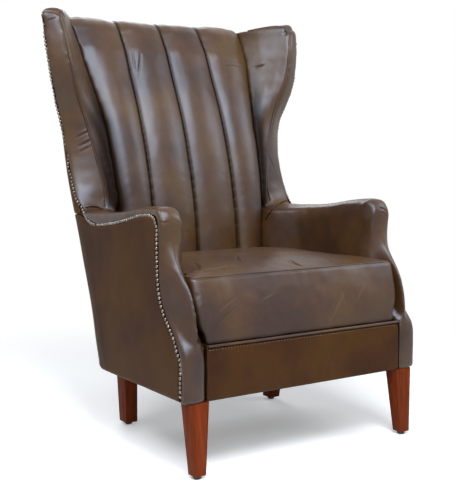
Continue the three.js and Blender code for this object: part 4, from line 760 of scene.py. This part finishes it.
def seam_gap(points):
    return np.min([np.abs(points[:, 0] - x) for x in CHANNEL_SEAMS], axis=0)


def facing_sitter(points, normals):
    return np.clip(1 - (normals[:, 1] - 0.1) / 0.5, 0, 1)


points, normals = points_of(back), normals_of(back)
limits = np.array([-0.289, *CHANNEL_SEAMS, 0.289])
channel = np.clip(np.searchsorted(limits, points[:, 0]) - 1, 0, 3)
across = 2 * (points[:, 0] - limits[channel]) / (limits[channel + 1] - limits[channel]) - 1
hollow = 0.0145 * (1 - np.sqrt(np.clip(1 - across ** 2, 0, 1)))
rise = np.clip((points[:, 2] - 1.085) / 0.035, 0, 1) * np.clip(normals[:, 2] / 0.4, 0, 1)
points += np.array([0, -0.25, 0.97]) * (0.62 * hollow * rise)[:, None]
set_points(back, points)
rim = np.interp(points[:, 2], WING_BACK_SEAM[:, 2], WING_BACK_SEAM[:, 0])
pins = np.clip(1.5 - seam_gap(points) / 0.008, 0, 1)
pins = np.maximum(pins, np.abs(points[:, 0]) > rim - 0.012)
pins = np.maximum(pins, (normals[:, 1] > 0.4) | (points[:, 2] < 0.44))
swell(back, pins, 0.007)
relax(back, 8)
finer(back)
drift(back, 0.13, 0.0018, 5, (1, 1, 0.5), facing_sitter)
points, normals = points_of(back), normals_of(back)
shape = facing_sitter(points, normals)
groove = np.exp(-(seam_gap(points) / 0.005) ** 2) * shape
set_points(back, points - normals * (groove * 0.0045)[:, None])
# Painted shade in the seam grooves of the channels.
darken(back, np.exp(-(seam_gap(points) / 0.0055) ** 2) * shape * 0.85)
# Painted shade along the edges of the back, in the deep corners beside the wings.
for side in sides.values():
    from_wing, _ = nearest_on(on_side(WING_BACK_SEAM, side), points)
    low = np.clip((1.04 - points[:, 2]) / 0.2, 0, 1)
    darken(back, 0.9 * np.exp(-(from_wing / 0.016) ** 2) * low)
for line in (
        [(-119.7, 280.7, 1050.8), (-120.7, 264.9, 1019.5), (-122, 256, 997.4), (-125.6, 240.8, 962.1)],
        [(-98.7, 271.2, 1045.5), (-101.1, 260.3, 1023), (-109.7, 249.5, 993.3), (-123.6, 238.5, 959.2)]):
    fold(back, line, 4.2, 2.2, 0.3)
fold(back, [(186, 255.5, 1012.8), (213.5, 255.3, 1013.1), (245.6, 256, 1009.8)], 2.6, 1.2, 0.25)
dress(back, "frame", ["back_pad"])

# %% [markdown]
# ## Seat cushion
# The loose cushion is T-shaped, with ears in front of the arms. Its top panel is sewn to an upright
# wall by one long seam, which puckers because the leather is gathered into it. The zip runs along
# the back. The CAD cover is hollow for its foam, and a filled copy is used, as only its skin shows.

# %% Cushion
CUSHION_SEAM = 0.457
cover = solid_copy("cushion_cover")
core_low, core_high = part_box("cushion_core")
tape_low, tape_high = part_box("zip_tape")
room = Vector((0.003, 0.003, 0.003))


def within(point, low, high):
    return all(low[k] <= point[k] <= high[k] for k in range(3))


inner = [
    face for face in cover.faces
    if within(face.calc_center_median(), core_low - room, core_high + room)
    or within(face.calc_center_median(), Vector((tape_low.x - 0.002, core_high.y, tape_low.z - 0.002)),
              Vector((tape_high.x + 0.002, tape_high.y - 0.002, tape_high.z + 0.002)))]
bmesh.ops.delete(cover, geom=inner, context="FACES")
bmesh.ops.holes_fill(cover, edges=[edge for edge in cover.edges if edge.is_boundary], sides=0)
print("cushion skin closed:", not any(edge.is_boundary for edge in cover.edges))
cushion = new_object("seat_cushion", cover, leather)
grid = cushion.modifiers.new("grid", "REMESH")
grid.mode = "VOXEL"
grid.voxel_size = 0.0054
settle(cushion)
relax(cushion, 7)


def ring_around(piece, height, centre=(0.0, -0.14), count=200):
    """Points where level lines from the middle leave a piece, at one height."""
    graph = bpy.context.evaluated_depsgraph_get()
    tree = BVHTree.FromObject(piece, graph)
    found = []
    for step in range(count):
        turn = 2 * math.pi * step / count
        start = Vector((*centre, height))
        hit = tree.ray_cast(start, Vector((math.cos(turn), math.sin(turn), 0)))[0]
        if hit is not None:
            found.append(hit)
    return np.array([*found, found[0]])


seam_ring = ring_around(cushion, CUSHION_SEAM)
points = points_of(cushion)
pins = np.clip(1.5 - nearest_on(seam_ring, points)[0] / 0.008, 0, 1)
pins = np.maximum(pins, points[:, 2] < 0.311)
zip_near = (np.abs(points[:, 0]) < 0.19) & (np.abs(points[:, 2] - 0.382) < 0.03) & (points[:, 1] > 0)
pins = np.maximum(pins, zip_near)
top = np.clip((points[:, 2] - CUSHION_SEAM) / 0.01, 0, 1)
front = np.clip((-0.34 - points[:, 1]) / 0.02, 0, 1)
swell(cushion, pins, 0.009, outside=np.maximum(np.maximum(top, front * 0.5), 0.12))
finer(cushion)
seam_ring = ring_around(cushion, CUSHION_SEAM, count=360)
# The seam round the cushion is pressed in and darkened with painted shade.
press(cushion, seam_ring - np.array([0, 0, 0.0045]), 0.0028, 0.0026, 0.9)
drift(cushion, 0.12, 0.0016, 17)
for line, width, depth in (
        ([(-268.1, -327.9, 466.2), (-249.8, -329.6, 467.5), (-219, -316.3, 469.9)], 3.4, 2.2),
        ([(-224.9, -325.6, 467.7), (-194.6, -313.9, 469.2), (-163.8, -302.1, 470.8)], 3.4, 2.0),
        ([(-155, -284.6, 473.4), (-156.4, -304.1, 470.5), (-147.6, -317, 468.8)], 3.2, 1.8),
        ([(-67.4, -185.5, 478.6), (-101.9, -245.4, 476.1), (-123.8, -295.2, 472.4)], 5.0, 2.6),
        ([(25.1, -289.2, 473.5), (15.5, -322.5, 468.4), (20.9, -352.2, 461)], 4.2, 2.6),
        ([(-198.7, -192.6, 472.2), (-221.7, -248.6, 469.3), (-262.1, -322.6, 467.6)], 5.0, 2.4),
        ([(-273, -397.3, 344.7), (-251.7, -394.2, 360.8), (-215.9, -388.7, 384.7)], 4.0, 1.2)):
    fold(cushion, line, width, 1.25 * depth, 0.4)
for line in (
        [(-265.2, -396.4, 350.9), (-239.3, -391.9, 370.9), (-202.7, -385.7, 394.8)],
        [(-253, -390.2, 379), (-225.6, -386.4, 394.6), (-194.2, -381.5, 407.7)],
        [(71.5, -397.8, 324.4), (96.6, -393.8, 356), (130.8, -384.2, 398.3)],
        [(160.2, -393.1, 366.3), (181, -388.1, 389.6), (205.5, -379.1, 415)],
        [(116, -382.1, 404.3), (122.1, -389.7, 376.8), (123.8, -393.1, 361.8)],
        [(-127.7, -385.1, 395.3), (-92.8, -381.6, 406.4)]):
    scratch(cushion, line)
dress(cushion, "cushion", ["cushion_cover"])

# %% [markdown]
# ## Legs
# The legs taper on all four sides. Their long edges were eased with sandpaper, so a small bevel
# catches the light. The CAD copy is merged first and its flat faces are joined, or the bevel would
# cut along every triangle.

# %% Legs
def eased_copy(name, node, material, width):
    shape = solid_copy(node)
    bmesh.ops.dissolve_limit(shape, angle_limit=math.radians(2), verts=shape.verts, edges=shape.edges)
    piece = new_object(name, shape, material)
    edge = piece.modifiers.new("edge", "BEVEL")
    edge.width = width
    edge.segments = 3
    edge.limit_method = "ANGLE"
    edge.angle_limit = math.radians(40)
    settle(piece)
    piece.data.set_sharp_from_angle(angle=math.radians(35))
    return piece


for hand in sides:
    for place in ("front", "rear"):
        node = f"leg_{place}_{hand}"
        leg = eased_copy(f"{place}_leg_{hand}", node, stained_wood, 0.0016)
        dress(leg, "frame", [node])

# %% [markdown]
# ## Nails
# Antique nails with domed heads almost touch each other, set by eye along a leather gimp. One dome
# is shaped once from a sphere and copied along the line with small errors of place and tilt.

# %% Nail rows
NAIL_PITCH = 0.0105
NAIL_RADIUS = 0.0044
random = np.random.default_rng(12)


def nail_head():
    head = bmesh.new()
    bmesh.ops.create_uvsphere(head, u_segments=10, v_segments=8, radius=NAIL_RADIUS)
    low = [vert for vert in head.verts if vert.co.z < -1e-6]
    bmesh.ops.delete(head, geom=low, context="VERTS")
    bmesh.ops.holes_fill(head, edges=[edge for edge in head.edges if edge.is_boundary], sides=0)
    bmesh.ops.scale(head, vec=(1, 1, 0.75), verts=head.verts)
    mesh = bpy.data.meshes.new("nail_head")
    head.to_mesh(mesh)
    head.free()
    return mesh


def placed_copies(name, template, places, material):
    """One mesh with a copy of the template at each place, given as matrices."""
    shape = bmesh.new()
    for place in places:
        first = len(shape.verts)
        shape.from_mesh(template)
        shape.verts.ensure_lookup_table()
        bmesh.ops.transform(shape, matrix=place, verts=shape.verts[first:])
    return new_object(name, shape, material)


def surface_of(*pieces):
    """One search tree over several finished pieces."""
    shape = bmesh.new()
    for piece in pieces:
        shape.from_mesh(piece.data)
    return BVHTree.FromBMesh(shape)


NAIL_ROW_TOP = 1.092


def lying_on(surface, strip, line, side):
    """Where a line runs over the finished leather, and the way that each of its points faces."""
    row, facing = [], []
    for point in line:
        near, normal, _, _ = strip.find_nearest(Vector(point) + Vector((side * 0.012, 0, 0)))
        hit, _, _, away = surface.ray_cast(near + normal * 0.015, -normal, 0.03)
        if hit is None:
            hit = surface.find_nearest(near)[0]
        row.append(hit)
        facing.append(normal)
    row, facing = np.array(row), np.array(facing)
    for _ in range(3):
        row[1:-1] = (row[:-2] + 2 * row[1:-1] + row[2:]) / 4
        facing[1:-1] = (facing[:-2] + 2 * facing[1:-1] + facing[2:]) / 4
    return row, facing / np.linalg.norm(facing, axis=1)[:, None]


head_mesh = nail_head()
nail_rows = {}
for hand, side in sides.items():
    node = f"nail_strip_{hand}"
    line = on_side(NAIL_LINE, side)
    line = spaced(line[line[:, 2] < NAIL_ROW_TOP], NAIL_PITCH)
    row, facing = lying_on(surface_of(hides[hand], *outer_covers[hand]),
                           BVHTree.FromBMesh(solid_copy(node)), line, side)
    nail_rows[hand] = row
    places = []
    for point, normal in zip(row, facing):
        tilted = Vector(normal + random.normal(0, 0.05, 3)).normalized()
        middle = Vector(point + normal * 0.0018 + random.normal(0, 0.00025, 3))
        places.append(Matrix.Translation(middle) @ tilted.to_track_quat("Z", "Y").to_matrix().to_4x4())
    nails = placed_copies(f"nails_{hand}", head_mesh, places, bronze)
    dress(nails, "frame", [node])
    print(hand, len(places), "nails")

# %% [markdown]
# ## Piping and stitches
# Piping is a strip of leather sewn round a cord. It closes the gap under the cushion and edges the
# wings. A curve with a round profile makes it, pulled onto the piece it is sewn to.

# %% Piping
def piping(name, line, radius, body, material):
    curve = bpy.data.curves.new(name, "CURVE")
    curve.dimensions = "3D"
    curve.bevel_depth = radius
    curve.bevel_resolution = 3
    curve.use_fill_caps = True
    spline = curve.splines.new("NURBS")
    spline.points.add(len(line) - 1)
    for slot_point, place in zip(spline.points, line):
        slot_point.co = (*place, 1)
    spline.order_u = 4
    spline.use_endpoint_u = True
    drawn = bpy.data.objects.new(name + "_curve", curve)
    scene.collection.objects.link(drawn)
    mesh = bpy.data.meshes.new_from_object(drawn.evaluated_get(bpy.context.evaluated_depsgraph_get()))
    bpy.data.objects.remove(drawn)
    made = bpy.data.objects.new(name, mesh)
    scene.collection.objects.link(made)
    made.data.materials.append(material)
    mesh.shade_smooth()
    dress(made, body)
    return made


for hand, side in sides.items():
    path = np.concatenate([WING_FACE_INNER[:-1], WING_TOP_EDGE])
    path[:, 2] += TIP_STUFFING[hand] * 0.009 * np.clip((path[:, 2] - 1.06) / 0.06, 0, 1)
    line = pulled_onto(hides[hand], spaced(on_side(rounded_tip(path), side), 0.012), 0.0008)
    for _ in range(4):
        line[1:-1] = (line[:-2] + 2 * line[1:-1] + line[2:]) / 4
    piping(f"wing_piping_{hand}", line, 0.0017, "frame", leather)
    # A dark line where the wing's hide ends on the arm: partly the seam itself, partly painted shade.
    joint_line = np.array(ARM_JOINT[hand]) / 1000
    joint_line = pulled_onto(hides[hand], spaced(joint_line, 0.008), 0.0002)
    piping(f"arm_joint_seam_{hand}", joint_line, 0.0013, "frame", dark_trim_and_seam_shade)
    # The gimp under the nails is dark leather, and it also paints the shade between the nail heads.
    gimp = piping(f"nail_gimp_{hand}", nail_rows[hand], 0.0026, "frame", dark_trim_and_seam_shade)


def draped_line(piece, x, start, end, steps=90):
    """A line at one x that runs up the front of a piece and over its top."""
    tree = BVHTree.FromObject(piece, bpy.context.evaluated_depsgraph_get())
    middle = Vector((x, 0.3, 0.95))
    found = []
    for step in range(steps + 1):
        turn = start + (end - start) * step / steps
        outward = Vector((0, -math.cos(turn), math.sin(turn)))
        hit = tree.ray_cast(middle + outward * 0.9, -outward)[0]
        if hit is not None:
            found.append(hit + outward * 0.0003)
    return np.array(found)


# Near-black tubes along the channel seams are painted shade in the seam grooves.
for number, x in enumerate(CHANNEL_SEAMS, 1):
    seam = draped_line(back, x, math.radians(-64), math.radians(96))
    piping(f"channel_seam_{number}", seam, 0.0011, "frame", dark_trim_and_seam_shade)

seam_ring = pulled_onto(cushion, ring_around(cushion, CUSHION_SEAM + 0.0005, count=300), 0.0002)
piping("cushion_welt", seam_ring, 0.0019, "cushion", leather)

rail_line = np.array([[x, -0.4086, 0.3056] for x in np.linspace(-0.2935, 0.2935, 40)])
piping("rail_piping", rail_line, 0.0028, "frame", leather)

stitch = bmesh.new()
bmesh.ops.create_uvsphere(stitch, u_segments=6, v_segments=4, radius=1.0)
bmesh.ops.scale(stitch, vec=(0.0029, 0.0007, 0.0007), verts=stitch.verts)
stitch_mesh = bpy.data.meshes.new("stitch")
stitch.to_mesh(stitch_mesh)
stitch.free()
band_surface = surface_of(band)
places = []
for x in np.arange(-0.288, 0.289, 0.0085):
    hit = band_surface.ray_cast(Vector((x, -0.46, 0.2965)), Vector((0, 1, 0)))[0]
    places.append(Matrix.Translation(hit) @ Matrix.Rotation(random.normal(0, 0.04), 4, "Y"))
stitches = placed_copies("band_stitches", stitch_mesh, places, thread)
dress(stitches, "frame")

REAR_SEAM = np.array([
    [246, 99.4, 180], [253.4, 115.6, 248], [259.9, 130.2, 318], [266.1, 152.4, 389],
    [274.6, 185.4, 483], [283.5, 211.8, 563], [297.1, 227.2, 617], [305.7, 238.1, 655],
    [309.9, 249.6, 694], [308.3, 261.1, 732], [304, 272.3, 771], [299, 284.5, 809],
    [288.2, 310.4, 887], [280.5, 339, 964], [275.6, 371.2, 1041], [271.8, 407.3, 1116],
]) / 1000
for hand, side in sides.items():
    piping(f"rear_piping_{hand}", spaced(on_side(REAR_SEAM, side), 0.02), 0.0026, "frame", leather)
    # A near-black line down each end of the band is painted shade in the joint with the arm.
    end_line = np.array([[side * 0.299, -0.4025, z] for z in np.linspace(0.181, 0.3085, 12)])
    piping(f"band_seam_{hand}", end_line, 0.0033, "frame", dark_trim_and_seam_shade)

# %% [markdown]
# ## What stays hidden
# Springs, webbing, deck and dust cover are only seen from below or with the cushion lifted, but each
# gets a real finish. Cloth pieces are copies with eased edges.

# %% Hidden soft pieces
for name, node, material, slot_name, body, fill in (
        ("deck_padding", "seat_deck", lining, "lining_cloth", "frame", 0.8),
        ("foam_core", "cushion_core", foam, "foam", "cushion", 1.0)):
    piece = eased_copy(name, node, material, 0.0015)
    dress(piece, body, [node])

for name, node, material, slot_name, rests in (
        ("underside_cloth", "dust_cover", lining, "lining_cloth", ["front_rail", "rear_rail"]),
        ("webbing_low", "back_webbing_1", jute, "jute_webbing", ["back_post_left", "back_post_right"]),
        ("webbing_high", "back_webbing_2", jute, "jute_webbing", ["back_post_left", "back_post_right"])):
    piece = eased_copy(name, node, material, 0.0004)
    dress(piece, "frame", [node])
    low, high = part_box(node)

# %% Finishes of the CAD parts that stay
FINISHES = {
    "leg_bolt": steel, "glide": nylon, "seat_spring": steel, "spring_bar": steel,
    "wing_board": plywood, "zip_tape": nylon, "zip_slider": bronze,
}
for name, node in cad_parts.items():
    if node.hide_render:
        continue
    finish = next((made for start, made in FINISHES.items() if name.startswith(start)), beech)
    node.data.materials.clear()
    node.data.materials.append(finish)

# %% [markdown]
# ## Studio
# The chair stands on a seamless white sweep. Large soft lamps give long gentle highlights on the
# waxed leather. The floor and world are white only to the camera and in reflections, so they don't
# bleach the chair, and the floor keeps its shadow.

# %% Floor, world and lamps
def lamp(name, place, aim, size, power, tint=(1, 1, 1)):
    made = bpy.data.objects.new(name, bpy.data.lights.new(name, "AREA"))
    made.data.shape = "RECTANGLE"
    made.data.size, made.data.size_y = size
    made.data.energy = power
    made.data.color = tint
    made.location = place
    made.rotation_euler = (Vector(aim) - Vector(place)).to_track_quat("-Z", "Y").to_euler()
    scene.collection.objects.link(made)
    return made


def softbox(name, turn, rise, size, power, tint=(0.92, 0.96, 1.0)):
    """A lamp three metres from the chair, placed by its turn from the front and its rise."""
    turn, rise = math.radians(turn), math.radians(rise)
    away = Vector((math.sin(turn) * math.cos(rise), -math.cos(turn) * math.cos(rise), math.sin(rise)))
    return lamp(name, Vector((0, 0, 0.7)) + 3.0 * away, (0, 0, 0.7), size, power, tint)


softbox("front_softbox", -25, 30, (2.2, 1.3), 46)
softbox("high_softbox", -15, 50, (1.3, 1.3), 92)
softbox("left_softbox", -75, 50, (1.3, 1.3), 60)
softbox("right_softbox", 60, 30, (1.3, 1.3), 30)
softbox("rear_softbox", 160, 35, (1.3, 1.3), 24)

floor_shape = bmesh.new()
bmesh.ops.create_grid(floor_shape, x_segments=1, y_segments=1, size=14)
floor_material, floor_tree, floor_shader, floor_place = new_material("white_sweep")
floor_shader.inputs["Base Color"].default_value = (0.86, 0.86, 0.87, 1)
floor_shader.inputs["Roughness"].default_value = 0.9
floor_shader.inputs["Specular IOR Level"].default_value = 0.1
floor = new_object("floor", floor_shape, floor_material)


def background_rays(tree):
    path = add_node(tree, "ShaderNodeLightPath")
    total = path.outputs["Is Camera Ray"]
    for other in ("Is Glossy Ray", "Is Transmission Ray"):
        total = add_node(tree, "ShaderNodeMath", {0: total, 1: path.outputs[other]},
                         operation="MAXIMUM").outputs["Value"]
    return total


glow = add_node(floor_tree, "ShaderNodeEmission", {"Color": (1, 1, 1, 1), "Strength": 0.3})
lit = add_node(floor_tree, "ShaderNodeAddShader", {0: floor_shader.outputs[0], 1: glow.outputs[0]})
reach = add_node(floor_tree, "ShaderNodeVectorMath", {0: floor_place}, operation="LENGTH")
far = add_node(floor_tree, "ShaderNodeMapRange", {
    "Value": reach.outputs["Value"], "From Min": 0.75, "From Max": 1.7}, interpolation_type="SMOOTHSTEP")
white = add_node(floor_tree, "ShaderNodeEmission", {"Color": (1, 1, 1, 1), "Strength": 1.0})
swept = add_node(floor_tree, "ShaderNodeMixShader", {
    0: far.outputs["Result"], 1: lit.outputs[0], 2: white.outputs[0]})
seen = add_node(floor_tree, "ShaderNodeMixShader", {
    0: background_rays(floor_tree), 1: floor_shader.outputs[0], 2: swept.outputs[0]})
floor_tree.links.new(seen.outputs[0], floor_tree.nodes["Material Output"].inputs["Surface"])

world = bpy.data.worlds.new("studio")
scene.world = world
world.use_nodes = True
sky = world.node_tree
dim = add_node(sky, "ShaderNodeBackground", {"Color": (0.9, 0.95, 1.0, 1), "Strength": 0.06})
bright = add_node(sky, "ShaderNodeBackground", {"Color": (1, 1, 1, 1), "Strength": 1.0})
choice = add_node(sky, "ShaderNodeMixShader", {
    0: background_rays(sky), 1: dim.outputs[0], 2: bright.outputs[0]})
sky.links.new(choice.outputs[0], sky.nodes["World Output"].inputs["Surface"])
scene.view_settings.view_transform = "Standard"
